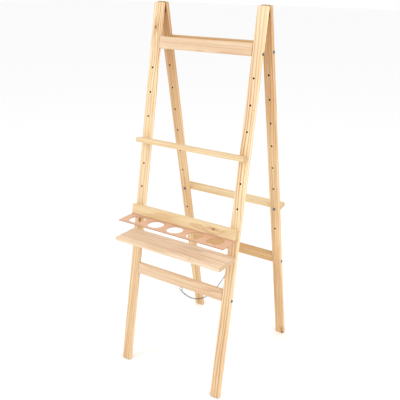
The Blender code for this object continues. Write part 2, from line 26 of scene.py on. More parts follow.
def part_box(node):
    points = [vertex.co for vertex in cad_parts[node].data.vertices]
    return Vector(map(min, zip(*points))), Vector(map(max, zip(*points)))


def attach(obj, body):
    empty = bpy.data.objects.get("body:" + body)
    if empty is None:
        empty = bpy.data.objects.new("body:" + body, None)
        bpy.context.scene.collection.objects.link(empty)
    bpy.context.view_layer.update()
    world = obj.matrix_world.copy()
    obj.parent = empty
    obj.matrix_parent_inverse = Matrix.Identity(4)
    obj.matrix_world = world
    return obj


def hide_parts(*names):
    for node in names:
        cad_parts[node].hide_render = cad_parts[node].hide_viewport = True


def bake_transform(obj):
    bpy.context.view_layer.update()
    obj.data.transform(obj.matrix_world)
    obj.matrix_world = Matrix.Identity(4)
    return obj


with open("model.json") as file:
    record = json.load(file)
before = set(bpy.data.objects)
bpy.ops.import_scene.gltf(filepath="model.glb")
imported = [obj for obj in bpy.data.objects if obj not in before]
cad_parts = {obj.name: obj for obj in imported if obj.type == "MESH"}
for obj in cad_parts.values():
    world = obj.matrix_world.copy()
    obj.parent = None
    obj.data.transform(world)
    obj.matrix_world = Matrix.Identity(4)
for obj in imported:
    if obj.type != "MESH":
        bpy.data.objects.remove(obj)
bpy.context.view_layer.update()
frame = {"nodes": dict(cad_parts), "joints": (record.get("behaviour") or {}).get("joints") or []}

LOG = logging.getLogger("easel")
MM = 0.001
SHARP = math.radians(38)
HANDS = (("left", -1), ("right", 1))
# The stock axes of a plank that lies across the easel: x goes back, y up and z to the right.
CROSSWISE = ((0, 1, 0), (0, 0, 1), (1, 0, 0))

Place = tuple[float, float, float]
Colour = tuple[float, float, float]
Outline = Sequence[tuple[float, float]]
Mark = tuple[Vector, Vector]


def linear(red: int, green: int, blue: int) -> Colour:
    """Turns a display colour into the linear one that a shader takes.

    Args:
        red: Red, from 0 to 255.
        green: Green, from 0 to 255.
        blue: Blue, from 0 to 255.

    Returns:
        The three linear values, from 0 to 1.
    """
    return tuple(((value / 255 + 0.055) / 1.055) ** 2.4 for value in (red, green, blue))


# ---------------------------------------------------------------- node trees


class Socket(Enum):
    """The kinds of socket that the trees use."""

    GEOMETRY = "NodeSocketGeometry"
    FLOAT = "NodeSocketFloat"
    INT = "NodeSocketInt"
    VECTOR = "NodeSocketVector"
    COLOUR = "NodeSocketColor"
    OBJECT = "NodeSocketObject"
    MATERIAL = "NodeSocketMaterial"


class Graph:
    """A node tree that is being built: it makes nodes and links what it is given."""

    def __init__(self, tree: bpy.types.NodeTree) -> None:
        """Keeps the tree."""
        self.tree = tree

    def feed(self, socket: bpy.types.NodeSocket, value: Any) -> None:
        """Links a socket to another, or sets its value.

        Args:
            socket: The input to fill.
            value: An output socket, a plain value, or None to leave the input as it is.
        """
        if isinstance(value, bpy.types.NodeSocket):
            self.tree.links.new(value, socket)
        elif value is not None:
            colour = socket.type == "RGBA" and len(value) == 3
            socket.default_value = (*value, 1.0) if colour else value

    def node(self, kind: str, inputs: dict[str | int, Any] | None = None, **settings: Any) -> bpy.types.Node:
        """Adds a node.

        Args:
            kind: The node's type.
            inputs: What goes into its inputs, by name or by number.
            **settings: The node's own settings.

        Returns:
            The node.
        """
        made = self.tree.nodes.new(kind)
        for name, value in settings.items():
            setattr(made, name, value)
        for key, value in (inputs or {}).items():
            self.feed(made.inputs[key], value)
        return made

    def math(self, operation: str, *values: Any, clamp: bool = False) -> bpy.types.NodeSocket:
        """A Math node's result."""
        inputs = dict(enumerate(values))
        return self.node("ShaderNodeMath", inputs, operation=operation, use_clamp=clamp).outputs[0]

    def vector(self, operation: str, *values: Any) -> bpy.types.NodeSocket:
        """A Vector Math node's vector."""
        return self.node("ShaderNodeVectorMath", dict(enumerate(values)), operation=operation).outputs[0]

    def length(self, vector: Any) -> bpy.types.NodeSocket:
        """A vector's length."""
        return self.node("ShaderNodeVectorMath", {0: vector}, operation="LENGTH").outputs[1]

    def split(self, vector: Any) -> bpy.types.bpy_prop_collection:
        """A vector's three parts."""
        return self.node("ShaderNodeSeparateXYZ", {0: vector}).outputs

    def join(self, x: Any, y: Any, z: Any) -> bpy.types.NodeSocket:
        """A vector of three parts."""
        return self.node("ShaderNodeCombineXYZ", {0: x, 1: y, 2: z}).outputs[0]


class ShaderGraph(Graph):
    """A shader tree, with the textures and mixes that the finishes share."""

    def noise(self, vector: Any, scale: float, detail: float = 2.0, roughness: float = 0.5) -> bpy.types.Node:
        """A Noise Texture node: its outputs are Fac and Color."""
        inputs = {"Vector": vector, "Scale": scale, "Detail": detail, "Roughness": roughness}
        return self.node("ShaderNodeTexNoise", inputs)

    def cells(self, vector: Any, scale: float) -> bpy.types.NodeSocket:
        """The distance to the nearest of scattered points."""
        return self.node("ShaderNodeTexVoronoi", {"Vector": vector, "Scale": scale}).outputs["Distance"]

    def step(self, value: Any, start: Any, end: Any, low: Any = 0.0, high: Any = 1.0) -> bpy.types.NodeSocket:
        """A smooth step from low to high, as value goes from start to end."""
        inputs = {0: value, 1: start, 2: end, 3: low, 4: high}
        return self.node("ShaderNodeMapRange", inputs, interpolation_type="SMOOTHSTEP").outputs[0]

    def mix(self, factor: Any, first: Any, second: Any, blend: str = "MIX") -> bpy.types.NodeSocket:
        """A colour between two colours."""
        inputs = {0: factor, 6: first, 7: second}
        return self.node("ShaderNodeMix", inputs, data_type="RGBA", blend_type=blend).outputs[2]

    def attribute(self, name: str) -> bpy.types.NodeSocket:
        """A mesh attribute's vector."""
        made = self.node("ShaderNodeAttribute", attribute_type="GEOMETRY", attribute_name=name)
        return made.outputs["Vector"]

    def mask(self, name: str) -> bpy.types.NodeSocket:
        """A mesh attribute's single value."""
        return self.node("ShaderNodeAttribute", attribute_type="GEOMETRY", attribute_name=name).outputs["Fac"]

    def stretched(self, vector: Any, stretch: Place) -> bpy.types.NodeSocket:
        """The vector with each part scaled, which draws a pattern out along an axis."""
        return self.vector("MULTIPLY", vector, stretch)


class Group(ShaderGraph):
    """A node group with named inputs and outputs."""

    def __init__(
        self, name: str, kind: str, inputs: dict[str, tuple[Socket, Any]], outputs: dict[str, Socket]
    ) -> None:
        """Makes the group and its sockets.

        Args:
            name: The group's name.
            kind: ShaderNodeTree or GeometryNodeTree.
            inputs: Each input's kind and its first value.
            outputs: Each output's kind.
        """
        super().__init__(bpy.data.node_groups.new(name, kind))
        for title, (socket, value) in inputs.items():
            made = self.tree.interface.new_socket(name=title, in_out="INPUT", socket_type=socket.value)
            if value is not None:
                made.default_value = (*value, 1.0) if socket is Socket.COLOUR else value
        for title, socket in outputs.items():
            self.tree.interface.new_socket(name=title, in_out="OUTPUT", socket_type=socket.value)
        self.given = self.node("NodeGroupInput").outputs
        self.result = self.node("NodeGroupOutput").inputs

    def coated(self, geometry: bpy.types.NodeSocket) -> bpy.types.NodeSocket:
        """The geometry made real, in the tree's Finish."""
        whole = self.node("GeometryNodeRealizeInstances", {0: geometry})
        inputs = {"Geometry": whole.outputs[0], "Material": self.given["Finish"]}
        return self.node("GeometryNodeSetMaterial", inputs).outputs[0]

    def give(self, **values: Any) -> bpy.types.NodeTree:
        """Fills the outputs, named with _ for a space, and returns the finished tree."""
        for name, value in values.items():
            self.feed(self.result[name.replace("_", " ")], value)
        return self.tree


# ---------------------------------------------------------------- finishes


@functools.cache
def pine_figure() -> bpy.types.NodeTree:
    """The figure of sawn pine: growth rings round the tree's heart, fibres, resin streaks and a knot."""
    colours = ("Pale", "Warm", "Late", "Knot Colour")
    g = Group(
        "Pine figure",
        "ShaderNodeTree",
        {
            "Stock": (Socket.VECTOR, None),
            "Knot": (Socket.VECTOR, None),
            "Next Knot": (Socket.VECTOR, None),
            **{name: (Socket.COLOUR, (0.8, 0.8, 0.8)) for name in colours},
            "Ring Width": (Socket.FLOAT, 5 * MM),
            "Ring Strength": (Socket.FLOAT, 0.5),
            "Streaks": (Socket.FLOAT, 0.3),
        },
        {"Colour": Socket.COLOUR, "Roughness": Socket.FLOAT, "Height": Socket.FLOAT},
    )
    stock, first = g.given["Stock"], g.given["Knot"]
    second = g.vector("ADD", first, g.given["Next Knot"])
    lengthwise = [g.math("ABSOLUTE", g.split(place)[2]) for place in (second, first)]
    closer = g.math("LESS_THAN", *lengthwise)
    knot = g.node("ShaderNodeMix", {0: closer, 4: first, 5: second}, data_type="VECTOR").outputs[1]
    slow = g.noise(g.stretched(stock, (1, 1, 0.16)), 11, 2.0).outputs["Color"]
    wander = g.vector("MULTIPLY", g.vector("SUBTRACT", slow, (0.5, 0.5, 0.5)), (0.034, 0.034, 0.0))
    quick = g.noise(g.stretched(stock, (1, 1, 0.1)), 75, 2.0).outputs["Color"]
    ripple = g.vector("MULTIPLY", g.vector("SUBTRACT", quick, (0.5, 0.5, 0.5)), (0.0028, 0.0028, 0.0))
    bent = g.vector("MULTIPLY", g.vector("ADD", g.vector("ADD", stock, wander), ripple), (1, 1, 0))
    # The rings bow out round the knot.
    near = g.math("MULTIPLY", g.length(g.stretched(knot, (1, 0, 0.32))), 1 / 0.011)
    bow = g.math("EXPONENT", g.math("MULTIPLY", g.math("MULTIPLY", near, near), -1.0))
    radius = g.math("ADD", g.length(bent), g.math("MULTIPLY", bow, 0.010))
    rings = g.math("DIVIDE", radius, g.given["Ring Width"])
    uneven = g.noise(g.join(g.math("MULTIPLY", rings, 0.9), 0.0, 0.0), 1.0, 1.0).outputs[0]
    phase = g.math("FRACT", g.math("ADD", rings, g.math("MULTIPLY", uneven, 1.3)))
    late = g.math("MULTIPLY", g.step(phase, 0.34, 0.78), g.step(phase, 0.92, 1.0, 1.0, 0.0))
    years = g.noise(g.join(g.math("MULTIPLY", rings, 0.37), 0.0, 3.0), 1.0, 1.0).outputs[0]
    late = g.math("MULTIPLY", late, g.step(years, 0.3, 0.68, 0.35, 1.0))
    stretch = g.noise(g.stretched(stock, (1, 1, 0.4)), 7, 1.0).outputs[0]
    late = g.math("MULTIPLY", late, g.step(stretch, 0.36, 0.62, 0.5, 1.0))

    blotch = g.noise(g.stretched(stock, (1, 1, 0.12)), 26, 2.0).outputs[0]
    colour = g.mix(g.step(blotch, 0.34, 0.66), g.given["Pale"], g.given["Warm"])
    colour = g.mix(g.math("MULTIPLY", late, g.given["Ring Strength"]), colour, g.given["Late"])
    pitch = g.noise(g.stretched(stock, (1, 1, 0.035)), 150, 3.0, 0.6).outputs[0]
    streak = g.math("MULTIPLY", g.step(pitch, 0.56, 0.76), g.given["Streaks"])
    colour = g.mix(streak, colour, g.given["Late"])
    fibre = g.noise(g.stretched(stock, (1, 1, 0.018)), 1500, 3.0, 0.65).outputs[0]
    shade = g.step(fibre, 0.25, 0.75, 0.90, 1.05)
    colour = g.mix(1.0, colour, g.join(shade, shade, shade), "MULTIPLY")
    flecks = g.step(g.cells(g.stretched(stock, (1, 1, 0.05)), 420), 0.07, 0.16, 0.45, 0.0)
    colour = g.mix(flecks, colour, g.given["Late"])
    # The knot: a dark rim, a brown core with its own fine rings, and a stained halo along the grain.
    rough_edge = g.math("MULTIPLY", g.math("SUBTRACT", g.noise(knot, 500, 2.0).outputs[0], 0.5), 0.003)
    across = g.math("ADD", g.length(g.stretched(knot, (1, 0, 0.5))), rough_edge)
    halo = g.step(g.length(g.stretched(knot, (1, 0, 0.16))), 0.004, 0.0085, 0.5, 0.0)
    colour = g.mix(halo, colour, g.given["Late"])
    core = g.step(across, 0.0024, 0.0042, 1.0, 0.0)
    knot_rings = g.step(g.math("FRACT", g.math("DIVIDE", across, 0.0009)), 0.2, 0.9, 0.75, 1.0)
    colour = g.mix(g.math("MULTIPLY", core, knot_rings), colour, g.given["Knot Colour"])

    roughness = g.math("ADD", g.step(fibre, 0.2, 0.8, 0.50, 0.68), g.math("MULTIPLY", late, -0.08))
    height = g.math("ADD", g.math("MULTIPLY", fibre, 0.5), g.math("MULTIPLY", late, 0.5))
    return g.give(Colour=colour, Roughness=roughness, Height=g.math("SUBTRACT", height, flecks))


@functools.cache
def edge_mask() -> bpy.types.NodeTree:
    """How near a point is to an arris, and whether it is on end grain, from its distances to six faces."""
    g = Group(
        "Arris and end",
        "ShaderNodeTree",
        {"Low": (Socket.VECTOR, None), "High": (Socket.VECTOR, None), "Spread": (Socket.FLOAT, 4 * MM)},
        {"Arris": Socket.FLOAT, "End": Socket.FLOAT},
    )
    x, y, z = g.split(g.vector("MINIMUM", g.given["Low"], g.given["High"]))
    pairs = [g.math("ADD", a, b) for a, b in ((x, y), (y, z), (x, z))]
    nearest = g.math("MINIMUM", pairs[0], g.math("MINIMUM", pairs[1], pairs[2]))
    patchy = g.step(g.noise(g.given["Low"], 60, 3.0).outputs[0], 0.38, 0.62, 0.25, 1.0)
    arris = g.math("MULTIPLY", g.step(nearest, 1 * MM, g.given["Spread"], 1.0, 0.0), patchy)
    return g.give(Arris=arris, End=g.step(z, 0.2 * MM, 0.9 * MM, 1.0, 0.0))


@functools.cache
def plating() -> bpy.types.NodeTree:
    """Zinc plating: faint clouds of blue and straw, dull patches and fine scratches."""
    g = Group(
        "Zinc plating",
        "ShaderNodeTree",
        {
            "Position": (Socket.VECTOR, None),
            "Bright": (Socket.COLOUR, (0.7, 0.7, 0.7)),
            "Dull": (Socket.COLOUR, (0.5, 0.5, 0.5)),
            "Grime": (Socket.COLOUR, (0.1, 0.1, 0.1)),
        },
        {"Colour": Socket.COLOUR, "Roughness": Socket.FLOAT, "Height": Socket.FLOAT},
    )
    place = g.given["Position"]
    cloud = g.noise(place, 210, 3.0).outputs[0]
    colour = g.mix(g.step(cloud, 0.35, 0.65), g.given["Bright"], g.given["Dull"])
    specks = g.step(g.noise(place, 900, 2.0).outputs[0], 0.62, 0.78)
    colour = g.mix(g.math("MULTIPLY", specks, 0.6), colour, g.given["Grime"])
    scratch = g.noise(g.stretched(place, (1, 1, 0.06)), 2600, 2.0).outputs[0]
    roughness = g.math("ADD", g.step(cloud, 0.3, 0.7, 0.26, 0.42), g.math("MULTIPLY", specks, 0.25))
    return g.give(Colour=colour, Roughness=roughness, Height=g.math("ADD", scratch, cloud))


@functools.cache
def pressed_fibre() -> bpy.types.NodeTree:
    """Pressed hardboard: matted fibres, soft mottling and darker sawn edges."""
    g = Group(
        "Pressed fibre",
        "ShaderNodeTree",
        {
            "Position": (Socket.VECTOR, None),
            "Face Normal": (Socket.VECTOR, None),
            "Face": (Socket.COLOUR, (0.6, 0.4, 0.3)),
            "Mottle": (Socket.COLOUR, (0.5, 0.3, 0.2)),
            "Sawn": (Socket.COLOUR, (0.3, 0.2, 0.1)),
        },
        {"Colour": Socket.COLOUR, "Roughness": Socket.FLOAT, "Height": Socket.FLOAT},
    )
    place = g.given["Position"]
    mottle = g.step(g.noise(place, 28, 3.0).outputs[0], 0.35, 0.65, 0.0, 0.55)
    colour = g.mix(mottle, g.given["Face"], g.given["Mottle"])
    tangled = g.noise(place, 160, 2.0).outputs["Color"]
    laid = g.vector("ADD", place, g.vector("MULTIPLY", tangled, (0.006, 0.006, 0.0)))
    fibre = g.noise(g.stretched(laid, (0.35, 1, 1)), 1700, 3.0, 0.7).outputs[0]
    shade = g.step(fibre, 0.3, 0.7, 0.86, 1.08)
    colour = g.mix(1.0, colour, g.join(shade, shade, shade), "MULTIPLY")
    specks = g.step(g.cells(place, 520), 0.08, 0.2, 0.5, 0.0)
    colour = g.mix(specks, colour, g.given["Sawn"])
    upright = g.math("ABSOLUTE", g.split(g.given["Face Normal"])[2])
    sawn = g.step(upright, 0.25, 0.8, 1.0, 0.0)
    colour = g.mix(g.math("MULTIPLY", sawn, 0.6), colour, g.given["Sawn"])
    roughness = g.math("ADD", g.step(fibre, 0.2, 0.8, 0.42, 0.56), g.math("MULTIPLY", sawn, 0.3))
    return g.give(Colour=colour, Roughness=roughness, Height=fibre)


class Finish:
    """A finish: it makes its own material once."""

    name: str

    @functools.cached_property
    def material(self) -> bpy.types.Material:
        """The finish's material."""
        made = bpy.data.materials.new(self.name)
        made.use_nodes = True
        shader = made.node_tree.nodes["Principled BSDF"]
        self.paint(ShaderGraph(made.node_tree), shader)
        return made

    def paint(self, g: ShaderGraph, shader: bpy.types.Node) -> None:
        """Fills the shader's sockets."""
        raise NotImplementedError

    @staticmethod
    def bump(g: ShaderGraph, shader: bpy.types.Node, height: Any, depth: float, strength: float) -> None:
        """Puts a height on the shader's normal.

        Args:
            g: The material's graph.
            shader: The Principled shader.
            height: The height's socket.
            depth: How deep the height's range is, in metres.
            strength: How much of it shows, from 0 to 1.
        """
        bump = g.node("ShaderNodeBump", {"Strength": strength, "Distance": depth, "Height": height})
        g.feed(shader.inputs["Normal"], bump.outputs[0])


@dataclass(frozen=True)
class Pine(Finish):
    """Planed pine with no varnish, from one part of the log. The rear finishes are darker copies that carry
    painted shade.

    The foot tint darkens a plank towards its foot, and painted shade darkens it towards its top.
    """

    name: str
    pale: Colour
    warm: Colour
    late: Colour
    knot: Colour = linear(104, 66, 38)
    handled: Colour = linear(206, 162, 112)
    end_grain: Colour = linear(178, 142, 106)
    # Painted shade for the walls of bores and grooves.
    bored: Colour = linear(34, 18, 10)
    ring_width: float = 5 * MM
    ring_strength: float = 0.55
    streaks: float = 0.3
    foot_tint: float = 0.0
    top_shade: float = 0.0

    def paint(self, g: ShaderGraph, shader: bpy.types.Node) -> None:
        """Fills the shader from the figure, the handled edges and the end grain."""
        values = {
            "Stock": g.attribute("stock"),
            "Knot": g.attribute("knot"),
            "Next Knot": g.attribute("next_knot"),
            "Pale": self.pale,
            "Warm": self.warm,
            "Late": self.late,
            "Knot Colour": self.knot,
            "Ring Width": self.ring_width,
            "Ring Strength": self.ring_strength,
            "Streaks": self.streaks,
        }
        figure = g.node("ShaderNodeGroup", values, node_tree=pine_figure()).outputs
        low, high = g.attribute("low"), g.attribute("high")
        edges = g.node("ShaderNodeGroup", {"Low": low, "High": high}, node_tree=edge_mask()).outputs
        foot = g.step(g.split(low)[2], 0.1, 0.8, self.foot_tint, 0.0)
        # Painted shade: the top tint darkens the plank towards its top end.
        top = g.step(g.split(high)[2], 0.1, 0.8, self.top_shade, 0.0)
        colour = g.mix(g.math("ADD", foot, top), figure["Colour"], self.late)
        arris = g.math("MULTIPLY", edges["Arris"], 0.35)
        colour = g.mix(arris, colour, self.handled)
        end = g.math("MULTIPLY", edges["End"], 0.7)
        colour = g.mix(end, colour, self.end_grain)
        # Painted shade: the walls of bores and grooves go nearly black.
        colour = g.mix(g.math("MULTIPLY", g.mask("bored"), 0.96), colour, self.bored)
        g.feed(shader.inputs["Base Color"], colour)
        g.feed(shader.inputs["Roughness"], figure["Roughness"])
        shader.inputs["Specular IOR Level"].default_value = 0.3
        self.bump(g, shader, figure["Height"], 0.12 * MM, 0.4)


@dataclass(frozen=True)
class Drilled(Finish):
    """Painted shade for the walls of the bores: a nearly black finish."""

    name: str
    dark: Colour
    light: Colour

    def paint(self, g: ShaderGraph, shader: bpy.types.Node) -> None:
        """Fills the shader with painted shade, broken by torn fibres along the grain."""
        torn = g.noise(g.stretched(g.attribute("stock"), (1, 1, 0.1)), 900, 3.0, 0.6).outputs[0]
        g.feed(shader.inputs["Base Color"], g.mix(g.step(torn, 0.35, 0.7), self.dark, self.light))
        shader.inputs["Roughness"].default_value = 0.95
        shader.inputs["Specular IOR Level"].default_value = 0.05
        self.bump(g, shader, torn, 0.2 * MM, 0.4)


@dataclass(frozen=True)
class Steel(Finish):
    """Zinc-plated steel."""

    name: str
    bright: Colour
    dull: Colour
    grime: Colour = linear(92, 84, 74)

    def paint(self, g: ShaderGraph, shader: bpy.types.Node) -> None:
        """Fills the shader from the plating."""
        place = g.node("ShaderNodeTexCoord").outputs["Object"]
        values = {"Position": place, "Bright": self.bright, "Dull": self.dull, "Grime": self.grime}
        plated = g.node("ShaderNodeGroup", values, node_tree=plating()).outputs
        g.feed(shader.inputs["Base Color"], plated["Colour"])
        g.feed(shader.inputs["Roughness"], plated["Roughness"])
        shader.inputs["Metallic"].default_value = 1.0
        self.bump(g, shader, plated["Height"], 0.02 * MM, 0.25)


@dataclass(frozen=True)
class Hardboard(Finish):
    """Smooth hardboard with sawn edges."""

    name: str
    face: Colour
    mottle: Colour
    sawn: Colour

    def paint(self, g: ShaderGraph, shader: bpy.types.Node) -> None:
        """Fills the shader from the pressed fibres."""
        places = g.node("ShaderNodeTexCoord").outputs
        values = {
            "Position": places["Object"],
            "Face Normal": places["Normal"],
            "Face": self.face,
            "Mottle": self.mottle,
            "Sawn": self.sawn,
        }
        fibres = g.node("ShaderNodeGroup", values, node_tree=pressed_fibre()).outputs
        g.feed(shader.inputs["Base Color"], fibres["Colour"])
        g.feed(shader.inputs["Roughness"], fibres["Roughness"])
        shader.inputs["Specular IOR Level"].default_value = 0.4
        self.bump(g, shader, fibres["Height"], 0.05 * MM, 0.3)


@dataclass(frozen=True)
class Backdrop(Finish):
    """Plain pale paper."""

    name: str
    tone: Colour

    def paint(self, g: ShaderGraph, shader: bpy.types.Node) -> None:
        """Fills the shader with one tone and a faint tooth."""
        shader.inputs["Base Color"].default_value = (*self.tone, 1.0)
        shader.inputs["Roughness"].default_value = 0.9
        tooth = g.noise(g.node("ShaderNodeTexCoord").outputs["Object"], 300, 2.0).outputs[0]
        self.bump(g, shader, tooth, 0.05 * MM, 0.1)


LEG_PINE = Pine(
    "pine_legs",
    pale=linear(242, 220, 180),
    warm=linear(234, 206, 167),
    late=linear(184, 126, 70),
    ring_width=9 * MM,
    ring_strength=0.95,
    streaks=0.4,
    foot_tint=0.24,
)
# Painted shade: a darker copy of the legs' pine for the rear legs, whose seen faces look into the space
# between the frames.
SHADED_REAR_PINE = Pine(
    "pine_rear",
    pale=linear(230, 201, 158),
    warm=linear(218, 182, 136),
    late=linear(166, 108, 56),
    ring_width=8 * MM,
    ring_strength=0.8,
    streaks=0.4,
    top_shade=0.34,
)
# Painted shade: a darker copy of the rails' pine for the rear rails, whose seen faces look into the space
# between the frames.
SHADED_REAR_RAIL_PINE = Pine(
    "pine_rear_rails",
    pale=linear(214, 178, 128),
    warm=linear(205, 163, 110),
    late=linear(160, 106, 58),
    ring_width=8 * MM,
    ring_strength=0.6,
    streaks=0.4,
)
RAIL_PINE = Pine(
    "pine_rails",
    pale=linear(229, 202, 170),
    warm=linear(222, 190, 157),
    late=linear(190, 142, 100),
    ring_width=7 * MM,
    ring_strength=0.5,
)
BOARD_PINE = Pine(
    "pine_board",
    pale=linear(234, 211, 170),
    warm=linear(226, 197, 150),
    late=linear(190, 144, 92),
    knot=linear(112, 98, 70),
    ring_width=8 * MM,
    ring_strength=0.5,
    streaks=0.3,
)
SHELF_PINE = Pine(
    "pine_shelf",
    pale=linear(240, 220, 192),
    warm=linear(233, 208, 179),
    late=linear(198, 156, 112),
    ring_width=7 * MM,
    ring_strength=0.6,
    streaks=0.34,
)
# Painted shade: a nearly black finish for the walls of bores and grooves.
BORE_SHADE = Drilled("scorched_bores", dark=linear(30, 16, 9), light=linear(62, 36, 20))
PLATE_HARDBOARD = Hardboard(
    "hardboard_plate", face=linear(222, 180, 150), mottle=linear(214, 168, 136), sawn=linear(158, 110, 80)
)
BOLT_ZINC = Steel("zinc_bolts", bright=linear(118, 126, 140), dull=linear(92, 97, 106))
HINGE_STEEL = Steel("zinc_hinges", bright=linear(190, 164, 118), dull=linear(156, 130, 90))
CHAIN_ZINC = Steel("zinc_chain", bright=linear(106, 104, 100), dull=linear(72, 70, 67))
FLOOR_PAPER = Backdrop("floor_paper", tone=(0.96, 0.96, 0.96))


# ---------------------------------------------------------------- geometry trees


@functools.cache
def hole_row() -> bpy.types.NodeTree:
    """Drills a row of round holes with eased rims along z, each through the plank's thickness."""
    g = Group(
        "Row of holes",
        "GeometryNodeTree",
        {
            "Plank": (Socket.GEOMETRY, None),
            "Start": (Socket.VECTOR, None),
            "Pitch": (Socket.FLOAT, 0.1),
            "Count": (Socket.INT, 1),
            "Sides": (Socket.INT, 32),
            "Diameter": (Socket.FLOAT, 0.01),
            "Thickness": (Socket.FLOAT, 0.01),
            "Rim": (Socket.FLOAT, 0.4 * MM),
            "Finish": (Socket.MATERIAL, None),
        },
        {"Plank": Socket.GEOMETRY},
    )
    rim, radius = g.given["Rim"], g.math("MULTIPLY", g.given["Diameter"], 0.5)
    face = g.math("MULTIPLY", g.given["Thickness"], 0.5)
    depth = g.math("MULTIPLY", face, 4.0)
    sides = {"Vertices": g.given["Sides"], "Side Segments": 3, "Radius": radius, "Depth": depth}
    drill = g.node("GeometryNodeMeshCylinder", sides)
    x, y, z = g.split(g.node("GeometryNodeInputPosition").outputs[0])
    outer = g.math("GREATER_THAN", g.math("ABSOLUTE", z), g.math("DIVIDE", depth, 3.0))
    opened = g.math("MULTIPLY", outer, g.math("MULTIPLY", rim, 2.0))
    reach = g.math("ADD", g.math("SUBTRACT", face, rim), opened)
    flare = g.math("DIVIDE", opened, radius)
    widened = g.math("ADD", 1.0, flare)
    height = g.math("MULTIPLY", g.math("SIGN", z), reach)
    spot = g.join(g.math("MULTIPLY", x, widened), height, g.math("MULTIPLY", y, widened))
    shaped = g.node("GeometryNodeSetPosition", {"Geometry": drill.outputs["Mesh"], "Position": spot})
    turned = g.node("GeometryNodeFlipFaces", {"Mesh": shaped.outputs[0]})
    offset = g.join(0.0, 0.0, g.given["Pitch"])
    row = {"Count": g.given["Count"], "Start Location": g.given["Start"], "Offset": offset}
    line = g.node("GeometryNodeMeshLine", row, mode="OFFSET")
    points = {"Points": line.outputs[0], "Instance": turned.outputs[0]}
    drills = g.node("GeometryNodeInstanceOnPoints", points)
    real = g.node("GeometryNodeRealizeInstances", {0: drills.outputs[0]})
    cut = g.node(
        "GeometryNodeMeshBoolean",
        {"Mesh 1": g.given["Plank"], "Mesh 2": real.outputs[0]},
        operation="DIFFERENCE",
        solver="EXACT",
    )
    return g.give(Plank=g.coated(cut.outputs[0]))


@functools.cache
def fastener_set() -> bpy.types.NodeTree:
    """Puts one fastener at every point, along the point's heading and turned by chance about its own axis."""
    g = Group(
        "Set of fasteners",
        "GeometryNodeTree",
        {
            "Places": (Socket.GEOMETRY, None),
            "Fastener": (Socket.OBJECT, None),
            "Seed": (Socket.INT, 0),
            "Finish": (Socket.MATERIAL, None),
        },
        {"Fasteners": Socket.GEOMETRY},
    )
    one = g.node("GeometryNodeObjectInfo", {"Object": g.given["Fastener"], "As Instance": True})
    heading = g.node("GeometryNodeInputNamedAttribute", {"Name": "heading"}, data_type="FLOAT_VECTOR")
    aimed = g.node("FunctionNodeAlignRotationToVector", {"Vector": heading.outputs[0]}, axis="Z")
    any_turn = {2: 0.0, 3: math.tau, "Seed": g.given["Seed"]}
    chance = g.node("FunctionNodeRandomValue", any_turn, data_type="FLOAT")
    spin = g.node("FunctionNodeAxisAngleToRotation", {"Axis": (0, 0, 1), "Angle": chance.outputs[1]})
    turned = g.node(
        "FunctionNodeRotateRotation",
        {"Rotation": aimed.outputs[0], "Rotate By": spin.outputs[0]},
        rotation_space="LOCAL",
    )
    points = {
        "Points": g.given["Places"],
        "Instance": one.outputs["Geometry"],
        "Rotation": turned.outputs[0],
    }
    placed = g.node("GeometryNodeInstanceOnPoints", points)
    return g.give(Fasteners=g.coated(placed.outputs[0]))


@functools.cache
def chain_links() -> bpy.types.NodeTree:
    """Hangs oval links along a route, each turned a quarter from the one before."""
    g = Group(
        "Chain links",
        "GeometryNodeTree",
        {
            "Route": (Socket.GEOMETRY, None),
            "Count": (Socket.INT, 3),
            "Width": (Socket.FLOAT, 6 * MM),
            "Length": (Socket.FLOAT, 12 * MM),
            "Wire": (Socket.FLOAT, 1.4 * MM),
            "Finish": (Socket.MATERIAL, None),
        },
        {"Links": Socket.GEOMETRY},
    )
    wire = g.math("MULTIPLY", g.given["Wire"], 0.5)
    bend = g.math("SUBTRACT", g.math("MULTIPLY", g.given["Width"], 0.5), wire)
    straight = g.math("MULTIPLY", g.math("SUBTRACT", g.given["Length"], g.given["Width"]), 0.5)
    ring = g.node("GeometryNodeCurvePrimitiveCircle", {"Resolution": 22, "Radius": bend}, mode="RADIUS")
    x, y, z = g.split(g.node("GeometryNodeInputPosition").outputs[0])
    side = g.math("SUBTRACT", g.math("MULTIPLY", g.math("GREATER_THAN", y, 0.0), 2.0), 1.0)
    spot = g.join(x, g.math("ADD", y, g.math("MULTIPLY", side, straight)), z)
    oval = g.node("GeometryNodeSetPosition", {"Geometry": ring.outputs[0], "Position": spot})
    section = g.node("GeometryNodeCurvePrimitiveCircle", {"Resolution": 10, "Radius": wire}, mode="RADIUS")
    link = g.node("GeometryNodeCurveToMesh", {"Curve": oval.outputs[0], "Profile Curve": section.outputs[0]})
    smooth = g.node("GeometryNodeSetShadeSmooth", {"Geometry": link.outputs[0], "Shade Smooth": True})
    route = g.node("GeometryNodeMeshToCurve", {"Mesh": g.given["Route"]})
    spaced = g.node("GeometryNodeResampleCurve", {"Curve": route.outputs[0], "Count": g.given["Count"]})
    tangent = g.node("GeometryNodeInputTangent").outputs[0]
    along = g.node("FunctionNodeAlignRotationToVector", {"Vector": tangent}, axis="Y")
    odd = g.math("MODULO", g.node("GeometryNodeInputIndex").outputs[0], 2.0)
    quarter = g.math("MULTIPLY", g.math("SUBTRACT", 1.0, odd), math.pi / 2)
    roll = g.node("FunctionNodeAxisAngleToRotation", {"Axis": (0, 1, 0), "Angle": quarter})
    turned = g.node(
        "FunctionNodeRotateRotation",
        {"Rotation": along.outputs[0], "Rotate By": roll.outputs[0]},
        rotation_space="LOCAL",
    )
    points = {"Points": spaced.outputs[0], "Instance": smooth.outputs[0], "Rotation": turned.outputs[0]}
    placed = g.node("GeometryNodeInstanceOnPoints", points)
    return g.give(Links=g.coated(placed.outputs[0]))


# ---------------------------------------------------------------- the bench


